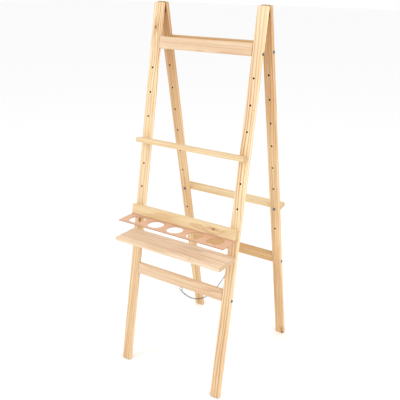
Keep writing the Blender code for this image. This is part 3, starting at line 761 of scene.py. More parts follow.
def run_tree(holder: bpy.types.Object, tree: bpy.types.NodeTree, values: dict[str, Any]) -> None:
    """Adds a geometry tree to an object, with its inputs set by their identifiers.

    Args:
        holder: The object.
        tree: The geometry tree.
        values: The inputs' values, by name.
    """
    modifier = holder.modifiers.new(tree.name, "NODES")
    modifier.node_group = tree
    for item in tree.interface.items_tree:
        if item.in_out == "INPUT" and item.name in values:
            modifier[item.identifier] = values[item.name]


def new_object(name: str, mesh: bpy.types.Mesh) -> bpy.types.Object:
    """An object at the origin, linked to the scene."""
    made = bpy.data.objects.new(name, mesh)
    bpy.context.scene.collection.objects.link(made)
    return made


def baked(holder: bpy.types.Object) -> bpy.types.Mesh:
    """The object's evaluated mesh as a plain one. The object itself is removed."""
    bpy.context.view_layer.update()
    graph = bpy.context.evaluated_depsgraph_get()
    mesh = bpy.data.meshes.new_from_object(holder.evaluated_get(graph))
    bpy.data.objects.remove(holder, do_unlink=True)
    return mesh


def mesh_from(shape: bmesh.types.BMesh, name: str) -> bpy.types.Mesh:
    """A mesh of the shape, which is freed."""
    mesh = bpy.data.meshes.new(name)
    shape.to_mesh(mesh)
    shape.free()
    return mesh


def smoothed(mesh: bpy.types.Mesh) -> bpy.types.Mesh:
    """The mesh shaded smooth between its sharp edges, with its large faces kept flat."""
    mesh.shade_smooth()
    mesh.set_sharp_from_angle(angle=SHARP)
    holder = new_object(mesh.name, mesh)
    weighted = holder.modifiers.new("flat faces", "WEIGHTED_NORMAL")
    weighted.keep_sharp = True
    return baked(holder)


def dressed(name: str, mesh: bpy.types.Mesh, finish: Finish) -> bpy.types.Object:
    """An object of the mesh in its finish, with painted shade on the walls where a bore runs into wood."""
    mesh.name = name
    mesh.materials.clear()
    mesh.materials.append(finish.material)
    mesh.polygons.foreach_set("material_index", [0] * len(mesh.polygons))
    if isinstance(finish, Pine):
        mesh.materials.append(BORE_SHADE.material)
        bored = [item.value for item in mesh.attributes["bored"].data]
        for face in mesh.polygons:
            face.material_index = int(any(bored[i] for i in face.vertices))
    return new_object(name, mesh)


def finished(
    name: str,
    mesh: bpy.types.Mesh,
    finish: Finish,
    body: str,
    replaced: Sequence[str],
) -> bpy.types.Object:
    """Makes a finished piece of a mesh that is in place.

    Args:
        name: The piece's name.
        mesh: Its mesh, in the easel's frame.
        finish: Its finish.
        body: The body that it rides on.
        replaced: The CAD nodes that it stands for.

    Returns:
        The piece.
    """
    piece = dressed(name, mesh, finish)
    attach(piece, body)
    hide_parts(*replaced)
    LOG.info("%-28s %6d faces, on %s", name, len(mesh.polygons), body)
    return piece


def basis(across: Sequence[float], thick: Sequence[float], along: Sequence[float], centre: Vector) -> Matrix:
    """The matrix that takes stock coordinates to a place: three axes and the plank's middle."""
    made = Matrix((across, thick, along)).transposed().to_4x4()
    made.translation = centre
    return made


def prism(outline: Outline, length: float) -> bmesh.types.BMesh:
    """A solid of one (x, y) outline, drawn along z about its middle.

    Args:
        outline: The outline's points, anticlockwise.
        length: The solid's length.

    Returns:
        The solid.
    """
    shape = bmesh.new()
    corners = [shape.verts.new((x, y, -length / 2)) for x, y in outline]
    base = shape.faces.new(corners)
    top = bmesh.ops.extrude_face_region(shape, geom=[base])["geom"]
    moved = [item for item in top if isinstance(item, bmesh.types.BMVert)]
    bmesh.ops.translate(shape, verts=moved, vec=(0, 0, length))
    bmesh.ops.recalc_face_normals(shape, faces=shape.faces)
    return shape


def rectangle(width: float, height: float) -> list[tuple[float, float]]:
    """A rectangle's corners, about its middle."""
    x, y = width / 2, height / 2
    return [(-x, -y), (x, -y), (x, y), (-x, y)]


def arc(x: float, y: float, radius: float, start: float, end: float, steps: int) -> list[tuple[float, float]]:
    """Points of a round stretch of an outline, both ends included.

    Args:
        x: The arc's centre.
        y: The arc's centre.
        radius: Its radius.
        start: The angle where it starts.
        end: The angle where it ends.
        steps: How many steps it takes.

    Returns:
        The points.
    """
    turns = [start + (end - start) * i / steps for i in range(steps + 1)]
    return [(x + radius * math.cos(t), y + radius * math.sin(t)) for t in turns]


def turned(rings: Sequence[Outline], closed: bool) -> bmesh.types.BMesh:
    """A shape turned about z.

    Args:
        rings: Its rings from the top down, each with a (radius, z) for every angle.
        closed: Whether the last ring meets the first. If not, both ends are capped.

    Returns:
        The shape, with its faces outward.
    """
    shape = bmesh.new()
    rows = []
    for ring in rings:
        row = []
        for i, (radius, z) in enumerate(ring):
            angle = math.tau * i / len(ring)
            row.append(shape.verts.new((radius * math.cos(angle), radius * math.sin(angle), z)))
        rows.append(row)
    followers = rows[1:] + rows[:1] if closed else rows[1:]
    for upper, lower in zip(rows, followers):
        for i in range(len(upper)):
            j = (i + 1) % len(upper)
            shape.faces.new((upper[i], lower[i], lower[j], upper[j]))
    if not closed:
        shape.faces.new(rows[0])
        shape.faces.new(list(reversed(rows[-1])))
    bmesh.ops.recalc_face_normals(shape, faces=shape.faces)
    return shape


def cut_away(holder: bpy.types.Object, cutter: bpy.types.Object) -> None:
    """Adds a modifier that takes the cutter's shape out of the holder."""
    boolean = holder.modifiers.new("cut", "BOOLEAN")
    boolean.operation = "DIFFERENCE"
    boolean.solver = "EXACT"
    boolean.use_self = True
    boolean.object = cutter


@dataclass(frozen=True)
class Bore:
    """A round bore in a plank, in stock coordinates."""

    middle: Place
    axis: str
    diameter: float
    length: float
    sides: int = 32

    def add_to(self, shape: bmesh.types.BMesh) -> None:
        """Adds the bore's cylinder to a cutter."""
        turns = {"x": Matrix.Rotation(math.pi / 2, 4, "Y"), "y": Matrix.Rotation(math.pi / 2, 4, "X")}
        bmesh.ops.create_cone(
            shape,
            cap_ends=True,
            segments=self.sides,
            radius1=self.diameter / 2,
            radius2=self.diameter / 2,
            depth=self.length,
            matrix=Matrix.Translation(self.middle) @ turns.get(self.axis, Matrix.Identity(4)),
        )


@dataclass(frozen=True)
class Knot:
    """A knot's place on a plank: across it and along it, and whether it runs across the width instead."""

    across: float
    along: float
    sideways: bool = False


@dataclass
class Plank:
    """One piece of sawn timber: its section, its cuts, its place and its part of the log."""

    name: str
    outline: Outline
    length: float
    place: Matrix
    finish: Finish
    heart: tuple[float, float]
    tilt: tuple[float, float] = (0.0, 0.0)
    knots: tuple[Knot, ...] = ()
    edge: float = 2.5 * MM
    edge_steps: int = 4
    bores: list[Bore] = field(default_factory=list)
    holes: dict[str, Any] | None = None

    def mesh(self) -> bpy.types.Mesh:
        """The plank's mesh in the easel's frame, with its stock coordinates as attributes."""
        holder = new_object(self.name, mesh_from(prism(self.outline, self.length), self.name))
        bevel = holder.modifiers.new("eased edges", "BEVEL")
        bevel.width = self.edge
        bevel.segments = self.edge_steps
        bevel.limit_method = "ANGLE"
        cutter = self.cut(holder) if self.bores else None
        if self.holes:
            run_tree(holder, hole_row(), {**self.holes, "Finish": self.finish.material})
        mesh = baked(holder)
        if cutter:
            bpy.data.objects.remove(cutter, do_unlink=True)
        mesh = smoothed(mesh)
        self.mark(mesh)
        mesh.transform(self.place)
        return mesh

    def cut(self, holder: bpy.types.Object) -> bpy.types.Object:
        """Cuts the bores out of the plank, and returns the cutting object."""
        shape = bmesh.new()
        for bore in self.bores:
            bore.add_to(shape)
        cutter = new_object(f"{self.name}_cutter", mesh_from(shape, "cutter"))
        cut_away(holder, cutter)
        return cutter

    def mark(self, mesh: bpy.types.Mesh) -> None:
        """Writes where each point is in the log, from the knot, and from the plank's six faces."""
        rng = random.Random(zlib.crc32(self.name.encode()))
        count = len(mesh.vertices)
        points = np.empty(count * 3, np.float32)
        mesh.vertices.foreach_get("co", points)
        points = points.reshape(count, 3)
        low, high = points.min(axis=0), points.max(axis=0)
        along = points[:, 2]
        log = points.copy()
        log[:, 0] += self.tilt[0] * along - self.heart[0]
        log[:, 1] += self.tilt[1] * along - self.heart[1]
        log[:, 2] += rng.uniform(1, 9)
        first, second = (*self.knots, Knot(5.0, 5.0), Knot(5.0, 5.0))[:2]
        turned = points[:, (1, 0, 2)] if first.sideways else points
        to_knot = turned - np.array((first.across, 0.0, first.along), np.float32)
        step = np.array((first.across - second.across, 0.0, first.along - second.along), np.float32)
        marks = {
            "stock": log,
            "knot": to_knot,
            "next_knot": np.tile(step, (count, 1)),
            "low": points - low,
            "high": high - points,
        }
        for name, values in marks.items():
            made = mesh.attributes.new(name, "FLOAT_VECTOR", "POINT")
            made.data.foreach_set("vector", np.ascontiguousarray(values, np.float32).ravel())
        # A point well inside the plank's six faces is on the wall of a bore or a groove.
        depths = np.sort(np.minimum(points - low, high - points), axis=1)
        bored = (depths[:, 0] > 0.35 * MM) & (depths[:, 1] > 3 * MM)
        made = mesh.attributes.new("bored", "FLOAT", "POINT")
        made.data.foreach_set("value", bored.astype(np.float32))


# ---------------------------------------------------------------- fasteners


class Drive(Enum):
    """What a fastener is turned with."""

    HEX = "hex"
    CROSS = "cross"
    SLOT = "slot"


@dataclass(frozen=True)
class Fastener:
    """A turned fastener about z, with z = 0 under its head and its shank running down."""

    name: str
    head: Outline
    shank: float
    length: float
    drive: Drive
    drive_size: float
    drive_depth: float
    thread_start: float = 2 * MM
    thread_pitch: float = 1 * MM
    tip: float = 1 * MM
    sides: int = 40

    def radius_at(self, turn: float, depth: float) -> float:
        """The shank's radius at an angle and a depth, with the thread's ridge on it.

        Args:
            turn: The angle, as a share of a full turn.
            depth: How far down the shank, in metres.

        Returns:
            The radius.
        """
        radius = self.shank / 2
        if depth > self.thread_start:
            phase = (depth / self.thread_pitch - turn) % 1.0
            ridge = 1 - abs(2 * phase - 1)
            radius -= 0.3 * self.thread_pitch * (1 - ridge)
        taper = min(1.0, (self.length - depth) / self.tip)
        return radius * (0.35 + 0.65 * max(taper, 0.0))

    def mesh(self) -> bpy.types.Mesh:
        """The fastener's mesh."""
        start = -self.head[-1][1]
        steps = math.ceil((self.length - start) / (self.thread_pitch / 5))
        depths = [start + (self.length - start) * i / steps for i in range(steps + 1)]
        rings = [[corner] * self.sides for corner in self.head]
        for depth in depths:
            rings.append([(self.radius_at(i / self.sides, depth), -depth) for i in range(self.sides)])
        holder = new_object(self.name, mesh_from(turned(rings, closed=False), self.name))
        recess = new_object("recess", mesh_from(self.recess(self.head[0][1]), "recess"))
        cut_away(holder, recess)
        mesh = baked(holder)
        bpy.data.objects.remove(recess, do_unlink=True)
        return smoothed(mesh)

    def recess(self, top: float) -> bmesh.types.BMesh:
        """The shape of the drive's recess, from just above the head's top."""
        shape = bmesh.new()
        centre = Matrix.Translation((0, 0, top))
        size, depth = self.drive_size, 2 * self.drive_depth
        if self.drive is Drive.HEX:
            radius = size / 2 / math.cos(math.pi / 6)
            cone = {"segments": 6, "radius1": radius, "radius2": radius, "depth": depth, "matrix": centre}
            bmesh.ops.create_cone(shape, cap_ends=True, **cone)
            return shape
        blades = (0.0,) if self.drive is Drive.SLOT else (0.0, math.pi / 2)
        width = 0.28 * size if self.drive is Drive.CROSS else 0.16 * size
        for turn in blades:
            blade = Matrix.Rotation(turn, 4, "Z") @ Matrix.Diagonal((size, width, depth, 1.0))
            made = bmesh.ops.create_cube(shape, size=1.0, matrix=centre @ blade)
            if self.drive is Drive.CROSS:
                for vert in made["verts"]:
                    if vert.co.z < top:
                        vert.co.x *= 0.35
                        vert.co.y *= 0.35
        return shape


def dome(radius: float, height: float, crown: float, steps: int = 7) -> list[tuple[float, float]]:
    """A domed head's outline, from the rim of its flat crown out and down to its underside.

    Args:
        radius: The head's radius.
        height: The head's height.
        crown: The radius of the flat middle.
        steps: How many steps the dome takes.

    Returns:
        The outline's (radius, z) points.
    """
    lip = 0.16 * height
    points = [(crown, height)]
    for i in range(1, steps + 1):
        t = math.pi / 2 * i / steps
        points.append((crown + (radius - crown) * math.sin(t), lip + (height - lip) * math.cos(t)))
    return points + [(radius, 0.05 * height), (radius - 0.05 * height, 0.0)]


@dataclass(frozen=True)
class FastenerSizes:
    """The sizes of the easel's bolts, inserts and screws, in metres."""

    bolt: float = 6 * MM
    bolt_head: float = 12 * MM
    bolt_head_height: float = 3 * MM
    socket: float = 4 * MM
    socket_depth: float = 1.8 * MM
    rail_screw_pitch: float = 3 * MM
    rail_screw_tip: float = 6 * MM
    fixing: float = 5 * MM
    fixing_head_height: float = 2.5 * MM
    fixing_reach: float = 16 * MM
    plate_screw: float = 3.5 * MM
    plate_screw_head: float = 7 * MM
    plate_screw_head_height: float = 1.8 * MM
    leaf_screw: float = 3 * MM
    leaf_screw_head: float = 6 * MM
    insert: float = 9 * MM
    insert_length: float = 13 * MM
    insert_rim: float = 0.4 * MM
    ledge_reach: float = 20 * MM
    ledge_thread: float = 24 * MM


SIZES = FastenerSizes()


def button_bolt(
    name: str, length: float, thread_start: float, pitch: float = 1 * MM, tip: float = 0.8 * MM
) -> Fastener:
    """A button-head fastener with a hexagon socket."""
    radius = SIZES.bolt_head / 2
    head = dome(radius, SIZES.bolt_head_height, radius / 2)
    socket = (Drive.HEX, SIZES.socket, SIZES.socket_depth)
    return Fastener(name, head, SIZES.bolt, length, *socket, thread_start, pitch, tip)


def pan_screw(name: str, shank: float, head: float, height: float, length: float) -> Fastener:
    """A pan-head wood screw with a cross recess."""
    outline = dome(head / 2, height, 0.32 * head)
    depth = 0.7 * height
    return Fastener(name, outline, shank, length, Drive.CROSS, 0.5 * head, depth, 2 * MM, 0.45 * shank, shank)


def place_fasteners(
    name: str,
    kind: Fastener,
    places: Sequence[Mark],
    body: str,
    replaced: Sequence[str],
    finish: Finish,
) -> bpy.types.Object:
    """One piece of all the fasteners of a kind that move together.

    Args:
        name: The piece's name.
        kind: The fastener.
        places: Where each one's head seats, and which way its head faces.
        body: The body that they ride on.
        replaced: The CAD nodes that they stand for.
        finish: Their finish.

    Returns:
        The piece.
    """
    template = new_object(kind.name, kind.mesh())
    points = bpy.data.meshes.new(name)
    points.from_pydata([tuple(place) for place, _ in places], [], [])
    heading = points.attributes.new("heading", "FLOAT_VECTOR", "POINT")
    heading.data.foreach_set("vector", [part for _, way in places for part in way])
    holder = new_object(name, points)
    seed = zlib.crc32(name.encode()) % 1000
    run_tree(holder, fastener_set(), {"Fastener": template, "Seed": seed, "Finish": finish.material})
    mesh = baked(holder)
    bpy.data.objects.remove(template, do_unlink=True)
    return finished(name, mesh, finish, body, replaced)


# ---------------------------------------------------------------- the easel


def joint(name: str) -> dict[str, Any]:
    """A joint of the record."""
    return next(item for item in frame["joints"] if item["name"] == name)


HINGE_PIN = Vector(joint("rear_fold")["pos_m"])
_PULL = joint("front_ledge_pull")["axis"]
LEAN = math.atan2(_PULL[2], -_PULL[1])


@dataclass(frozen=True)
class LadderSizes:
    """The stock and the drilling of one ladder frame, in metres."""

    leg_length: float = 1500 * MM
    leg_width: float = 40 * MM
    thickness: float = 18 * MM
    width: float = 497 * MM
    rail_height: float = 46 * MM
    top_rail: float = 128 * MM
    lower_rail: float = 1055 * MM
    rail_end_gap: float = 0.6 * MM
    rail_screw_drop: float = 36 * MM
    rail_screw_reach: float = 33 * MM
    first_hole: float = 250 * MM
    hole_pitch: float = 96 * MM
    hole_count: int = 8
    hole: float = 7 * MM
    pin_rise: float = 3 * MM
    inner_face: float = 1.8 * MM
    seat_gap: float = 0.3 * MM
    bore_gap: float = 0.5 * MM
    ledge_depth: float = 40 * MM
    ledge_height: float = 18 * MM

    @property
    def outer_face(self) -> float:
        """How far the legs' outer faces are from the hinge plane."""
        return self.inner_face + self.thickness

    @property
    def middle(self) -> float:
        """How far the legs' middle is from the hinge plane."""
        return self.inner_face + self.thickness / 2

    @property
    def leg_centre(self) -> float:
        """How far a leg's middle is from the easel's."""
        return (self.width - self.leg_width) / 2

    @property
    def rail_length(self) -> float:
        """A rail's length between the legs."""
        return self.width - 2 * self.leg_width - 2 * self.rail_end_gap

    def hole_drop(self, number: int) -> float:
        """How far hole number is below the leg's top end."""
        return self.first_hole + (number - 1) * self.hole_pitch


LADDER = LadderSizes()


@dataclass
class LadderFrame:
    """One ladder frame: two legs, two rails, a ledge and the fasteners that hold them."""

    name: str
    turned: bool
    ledge_hole: int
    bolts_ride: str
    leg_finish: Finish = LEG_PINE
    rail_finish: Finish = RAIL_PINE
    sizes: LadderSizes = LADDER
    leg_hearts: tuple[tuple[float, float], tuple[float, float]] = ((-0.045, 0.03), (0.05, 0.035))
    leg_knots: tuple[tuple[Knot, ...], tuple[Knot, ...]] = ((), ())

    @property
    def body(self) -> str:
        """The body that the frame is."""
        return f"{self.name}_frame"

    @property
    def slope(self) -> Matrix:
        """From x across, y inwards and z up the leg, about the hinge pin, to the easel's frame."""
        facing = Matrix.Rotation(math.pi if self.turned else 0.0, 4, "Z")
        return Matrix.Translation(HINGE_PIN) @ facing @ Matrix.Rotation(-LEAN, 4, "X")

    def local(self, hand: float, out: float, drop: float) -> Vector:
        """A place in the frame's own axes, from the easel's x, the way out and the drop from the top."""
        return Vector((-hand if self.turned else hand, -out, -(drop + self.sizes.pin_rise)))

    def at(self, hand: float, out: float, drop: float) -> Vector:
        """The same place in the easel's frame."""
        return self.slope @ self.local(hand, out, drop)

    def way(self, x: float, y: float, z: float) -> Vector:
        """A direction given in the frame's own axes, in the easel's frame."""
        return self.slope.to_3x3() @ Vector((x, y, z))

    def legs(self) -> None:
        """The two legs, with their row of holes and the bores for the rails' screws."""
        s = self.sizes
        for (hand, sign), heart, knots in zip(HANDS, self.leg_hearts, self.leg_knots):
            middle = self.local(sign * s.leg_centre, s.middle, s.leg_length / 2)
            screw_drops = (s.top_rail + s.rail_screw_drop, s.lower_rail + s.rail_screw_drop)
            bores = [
                Bore((0, 0, s.leg_length / 2 - drop), "x", SIZES.bolt + 2 * s.bore_gap, 2 * s.leg_width)
                for drop in screw_drops
            ]
            plank = Plank(
                f"{self.name}_leg_{hand}_wood",
                rectangle(s.leg_width, s.thickness),
                s.leg_length,
                self.slope @ Matrix.Translation(middle),
                self.leg_finish,
                heart,
                tilt=(0.012 * sign, 0.006),
                knots=knots,
                bores=bores,
                holes={
                    "Start": (0.0, 0.0, s.leg_length / 2 - s.first_hole),
                    "Pitch": -s.hole_pitch,
                    "Count": s.hole_count,
                    "Diameter": s.hole,
                    "Thickness": s.thickness,
                },
            )
            node = f"{self.name}_leg_{hand}"
            finished(plank.name, plank.mesh(), self.leg_finish, self.body, [node])

    def rails(self) -> None:
        """The two rails between the legs, with the bores for their screws."""
        s = self.sizes
        axes = ((0, 0, 1), (0, -1, 0), (1, 0, 0))
        levels = (("top", s.top_rail, (-0.03, 0.05)), ("lower", s.lower_rail, (0.028, -0.055)))
        for level, start, heart in levels:
            middle = self.local(0, s.middle, start + s.rail_height / 2)
            across = s.rail_height / 2 - s.rail_screw_drop
            end = s.rail_length / 2
            bores = []
            for sign in (-1, 1):
                reach = 2 * (s.rail_screw_reach + s.bore_gap)
                bores.append(Bore((across, 0, sign * end), "z", SIZES.bolt + 2 * s.bore_gap, reach))
            plank = Plank(
                f"{self.name}_{level}_rail_wood",
                rectangle(s.rail_height, s.thickness),
                s.rail_length,
                self.slope @ basis(*axes, middle),
                self.rail_finish,
                heart,
                tilt=(0.02, 0.01),
                bores=bores,
            )
            node = f"{self.name}_{level}_rail"
            finished(plank.name, plank.mesh(), self.rail_finish, self.body, [node])

    def rail_screws(self) -> None:
        """The screws that run through the legs into the rails' ends."""
        s = self.sizes
        length = s.leg_width + s.rail_end_gap + s.rail_screw_reach
        places, nodes = [], []
        for level, start in (("top", s.top_rail), ("lower", s.lower_rail)):
            for hand, sign in HANDS:
                seat = self.at(sign * (s.width / 2 + s.seat_gap), s.middle, start + s.rail_screw_drop)
                places.append((seat, Vector((sign, 0, 0))))
                nodes.append(f"{self.name}_{level}_rail_screw_{hand}")
        thread = (s.leg_width, SIZES.rail_screw_pitch, SIZES.rail_screw_tip)
        screw = button_bolt("rail_screw", length, *thread)
        place_fasteners(f"{self.name}_rail_screws", screw, places, self.body, nodes, BOLT_ZINC)

    def ledge(self) -> None:
        """The picture ledge, its threaded inserts and its two bolts."""
        s = self.sizes
        drop = s.hole_drop(self.ledge_hole)
        near = s.outer_face + s.seat_gap
        middle = self.local(0, near + s.ledge_depth / 2, drop)
        body = f"{self.name}_ledge"
        bores, inserts, bolts, nodes = [], [], [], {"insert": [], "bolt": []}
        for hand, sign in HANDS:
            spot = (s.ledge_depth / 2, 0, sign * s.leg_centre)
            for diameter, depth in (
                (SIZES.insert, SIZES.insert_length + s.bore_gap),
                (SIZES.bolt, SIZES.ledge_reach + s.bore_gap),
            ):
                bores.append(Bore(spot, "x", diameter + 2 * s.bore_gap, 2 * depth))
            inserts.append((self.at(sign * s.leg_centre, near + s.seat_gap, drop), self.way(0, 1, 0)))
            bolts.append((self.at(sign * s.leg_centre, s.inner_face - s.seat_gap, drop), self.way(0, 1, 0)))
            nodes["insert"].append(f"{self.name}_ledge_insert_{hand}")
            nodes["bolt"].append(f"{self.name}_ledge_bolt_{hand}")
        plank = Plank(
            f"{self.name}_ledge_wood",
            rectangle(s.ledge_depth, s.ledge_height),
            s.width,
            self.slope @ basis(*CROSSWISE, middle),
            BOARD_PINE,
            (0.03, -0.06),
            tilt=(0.015, 0.01),
            bores=bores,
        )
        finished(plank.name, plank.mesh(), BOARD_PINE, body, [f"{self.name}_ledge"])
        reach = s.thickness + SIZES.ledge_reach
        bolt = button_bolt("ledge_bolt", reach, reach - SIZES.ledge_thread)
        place_fasteners(f"{self.name}_ledge_bolts", bolt, bolts, self.bolts_ride, nodes["bolt"], BOLT_ZINC)
        self.inserts(body, inserts, nodes["insert"])

    def inserts(self, body: str, places: Sequence[Mark], nodes: list[str]) -> None:
        """The ledge's threaded inserts: sleeves that the bolts' ends turn in."""
        outer, inner = SIZES.insert / 2, SIZES.bolt / 2 + self.sizes.bore_gap / 2
        rim, foot = SIZES.insert_rim, -SIZES.insert_length
        outline = [(inner + rim, 0.0), (outer - rim, 0.0), (outer, -rim)]
        outline += [(outer, foot), (inner, foot), (inner, -rim)]
        sides = 40
        shape = turned([[corner] * sides for corner in outline], closed=True)
        sleeve = smoothed(mesh_from(shape, "sleeve"))
        parts = bmesh.new()
        for place, heading in places:
            turn = heading.to_track_quat("Z", "Y").to_matrix().to_4x4()
            one = sleeve.copy()
            one.transform(Matrix.Translation(place) @ turn)
            parts.from_mesh(one)
        mesh = mesh_from(parts, "inserts")
        mesh.shade_smooth()
        mesh.set_sharp_from_angle(angle=SHARP)
        finished(f"{self.name}_ledge_inserts", mesh, BOLT_ZINC, body, nodes)

    def build(self) -> None:
        """Builds the whole frame."""
        self.legs()
        self.rails()
        self.rail_screws()
        self.ledge()


@dataclass
class Hinges:
    """The two hinges at the top, whose leaves and pins keep their CAD shapes."""

    finish: Finish = HINGE_STEEL

    def build(self) -> None:
        """Puts the plating on the leaves and the pins."""
        for node, piece in frame["nodes"].items():
            if node.startswith("hinge_") and "screw" not in node:
                piece.data.materials.clear()
                piece.data.materials.append(self.finish.material)


@dataclass
class Studio:
    """The camera, the soft lights and the pale floor."""

    camera_at: Place = (1.2750, -1.9534, 1.5734)
    yaw: float = 0.59198
    down: float = 0.35747
    roll: float = 0.00696
    lens: float = 54.07

    def camera(self) -> None:
        """The camera, in front of the easel and to its right, looking down a little."""
        data = bpy.data.cameras.new("camera")
        data.lens = self.lens
        data.sensor_width = 36.0
        data.clip_start = 0.01
        view = bpy.data.objects.new("camera", data)
        turn = Matrix.Rotation(self.yaw, 4, "Z") @ Matrix.Rotation(math.pi / 2 - self.down, 4, "X")
        view.matrix_world = Matrix.Translation(self.camera_at) @ turn @ Matrix.Rotation(self.roll, 4, "Z")
        bpy.context.scene.collection.objects.link(view)
        bpy.context.scene.camera = view

    def light(self, name: str, place: Place, target: Place, size: float, power: float) -> None:
        """A square soft light.

        Args:
            name: Its name.
            place: Where it is.
            target: What it faces.
            size: Its side, in metres.
            power: Its power, in watts.
        """
        data = bpy.data.lights.new(name, "AREA")
        data.size = size
        data.energy = power
        lamp = bpy.data.objects.new(name, data)
        aim = (Vector(target) - Vector(place)).to_track_quat("-Z", "Y")
        lamp.matrix_world = Matrix.Translation(place) @ aim.to_matrix().to_4x4()
        bpy.context.scene.collection.objects.link(lamp)

    def build(self) -> None:
        """Sets up the lights, the world and the floor."""
        middle = (0.0, 0.0, 0.7)
        self.light("key", (-1.8, -3.2, 3.0), middle, 2.4, 30)
        self.light("fill", (3.4, -0.6, 1.9), middle, 2.4, 52)
        world = bpy.data.worlds.new("studio")
        world.use_nodes = True
        background = world.node_tree.nodes["Background"]
        background.inputs["Color"].default_value = (1.0, 1.0, 1.0, 1.0)
        background.inputs["Strength"].default_value = 1.0
        bpy.context.scene.world = world
        bpy.context.scene.view_settings.view_transform = "Standard"
        shape = bmesh.new()
        bmesh.ops.create_grid(shape, x_segments=1, y_segments=1, size=30)
        floor = new_object("floor", mesh_from(shape, "floor"))
        floor.data.materials.append(FLOOR_PAPER.material)


@dataclass
class SpreaderChain:
    """The slack chain between the lower rails, and the screw eyes that hold its end links."""

    across: float = 12 * MM
    width: float = 6.5 * MM
    link: float = 13 * MM
    wire: float = 1.4 * MM
    links: int = 51
    end_inset: float = 2.5 * MM
    eye_wire: float = 2.2 * MM
    eye_radius: float = 6.1 * MM
    eye_neck: float = 2.5 * MM
    eye_shank: float = 20 * MM
    eye_mouth: float = math.radians(26)
    # The route's own points, front to rear: (Y, Z).
    route: tuple[tuple[float, float], ...] = (
        (-0.2079, 0.3774),
        (-0.1898, 0.3570),
        (-0.1703, 0.3378),
        (-0.1494, 0.3198),
        (-0.1270, 0.3036),
        (-0.1031, 0.2893),
        (-0.0776, 0.2776),
        (-0.0508, 0.2688),
        (-0.0230, 0.2632),
        (0.0053, 0.2613),
        (0.0336, 0.2632),
        (0.0614, 0.2688),
        (0.0882, 0.2776),
        (0.1136, 0.2893),
        (0.1376, 0.3036),
        (0.1600, 0.3198),
        (0.1809, 0.3378),
        (0.2003, 0.3570),
        (0.2185, 0.3774),
    )

    def smooth_route(self, steps: int) -> list[Vector]:
        """Points read from a smooth curve through the route's own.

        Args:
            steps: How many steps each stretch takes.

        Returns:
            The points, in the easel's frame.
        """
        own = [Vector((self.across, y, z)) for y, z in self.route]
        ends = [2 * own[0] - own[1], *own, 2 * own[-1] - own[-2]]
        points = []
        for before, first, second, after in zip(ends, ends[1:], ends[2:], ends[3:]):
            for step in range(steps):
                t = step / steps
                bend = 2 * before - 5 * first + 4 * second - after
                turn = 3 * first - before - 3 * second + after
                points.append(0.5 * (2 * first + (second - before) * t + bend * t**2 + turn * t**3))
        return [*points, own[-1]]

    def chain(self) -> None:
        """The links along the route, hung between the two frames."""
        fine = self.smooth_route(12)
        inner = [fine[0].lerp(fine[1], self.end_inset / (fine[1] - fine[0]).length), *fine[1:-1]]
        inner.append(fine[-1].lerp(fine[-2], self.end_inset / (fine[-1] - fine[-2]).length))
        line = bpy.data.meshes.new("route")
        line.from_pydata(inner, [(i, i + 1) for i in range(len(inner) - 1)], [])
        holder = new_object("route", line)
        values = {
            "Count": self.links,
            "Width": self.width,
            "Length": self.link,
            "Wire": self.wire,
            "Finish": CHAIN_ZINC.material,
        }
        run_tree(holder, chain_links(), values)
        piece = dressed("spreader_chain", baked(holder), CHAIN_ZINC)
        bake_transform(piece)
        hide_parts("chain")

    def eye(self, ladder: LadderFrame) -> None:
        """A screw eye in the ladder frame's lower rail: one wire, bent round to a ring."""
        s = ladder.sizes
        ring = -(self.eye_neck + self.eye_radius)
        start = math.pi / 2
        end = start + self.eye_mouth + math.tau - 2 * self.eye_mouth
        points = [(0.0, self.eye_shank), (0.0, 0.0), (0.0, -0.6 * self.eye_neck)]
        points += arc(0, ring, self.eye_radius, start, end, 56)[1:]
        curve = bpy.data.curves.new("eye", "CURVE")
        curve.dimensions = "3D"
        curve.bevel_depth = self.eye_wire / 2
        curve.bevel_resolution = 5
        curve.use_fill_caps = True
        spline = curve.splines.new("POLY")
        spline.points.add(len(points) - 1)
        for point, (x, z) in zip(spline.points, points):
            point.co = (x, 0, z, 1)
        holder = bpy.data.objects.new("eye", curve)
        bpy.context.scene.collection.objects.link(holder)
        mesh = baked(holder)
        shape = bmesh.new()
        shape.from_mesh(mesh)
        bmesh.ops.remove_doubles(shape, verts=shape.verts, dist=0.002 * MM)
        bmesh.ops.recalc_face_normals(shape, faces=shape.faces)
        mesh = mesh_from(shape, "eye")
        mesh.shade_smooth()
        mesh.set_sharp_from_angle(angle=SHARP)
        drop = s.lower_rail + s.rail_height
        mesh.transform(ladder.slope @ Matrix.Translation(ladder.local(self.across, s.middle, drop)))
        name = f"chain_eye_{ladder.name}"
        finished(f"{name}_ring", mesh, BOLT_ZINC, ladder.body, [name])


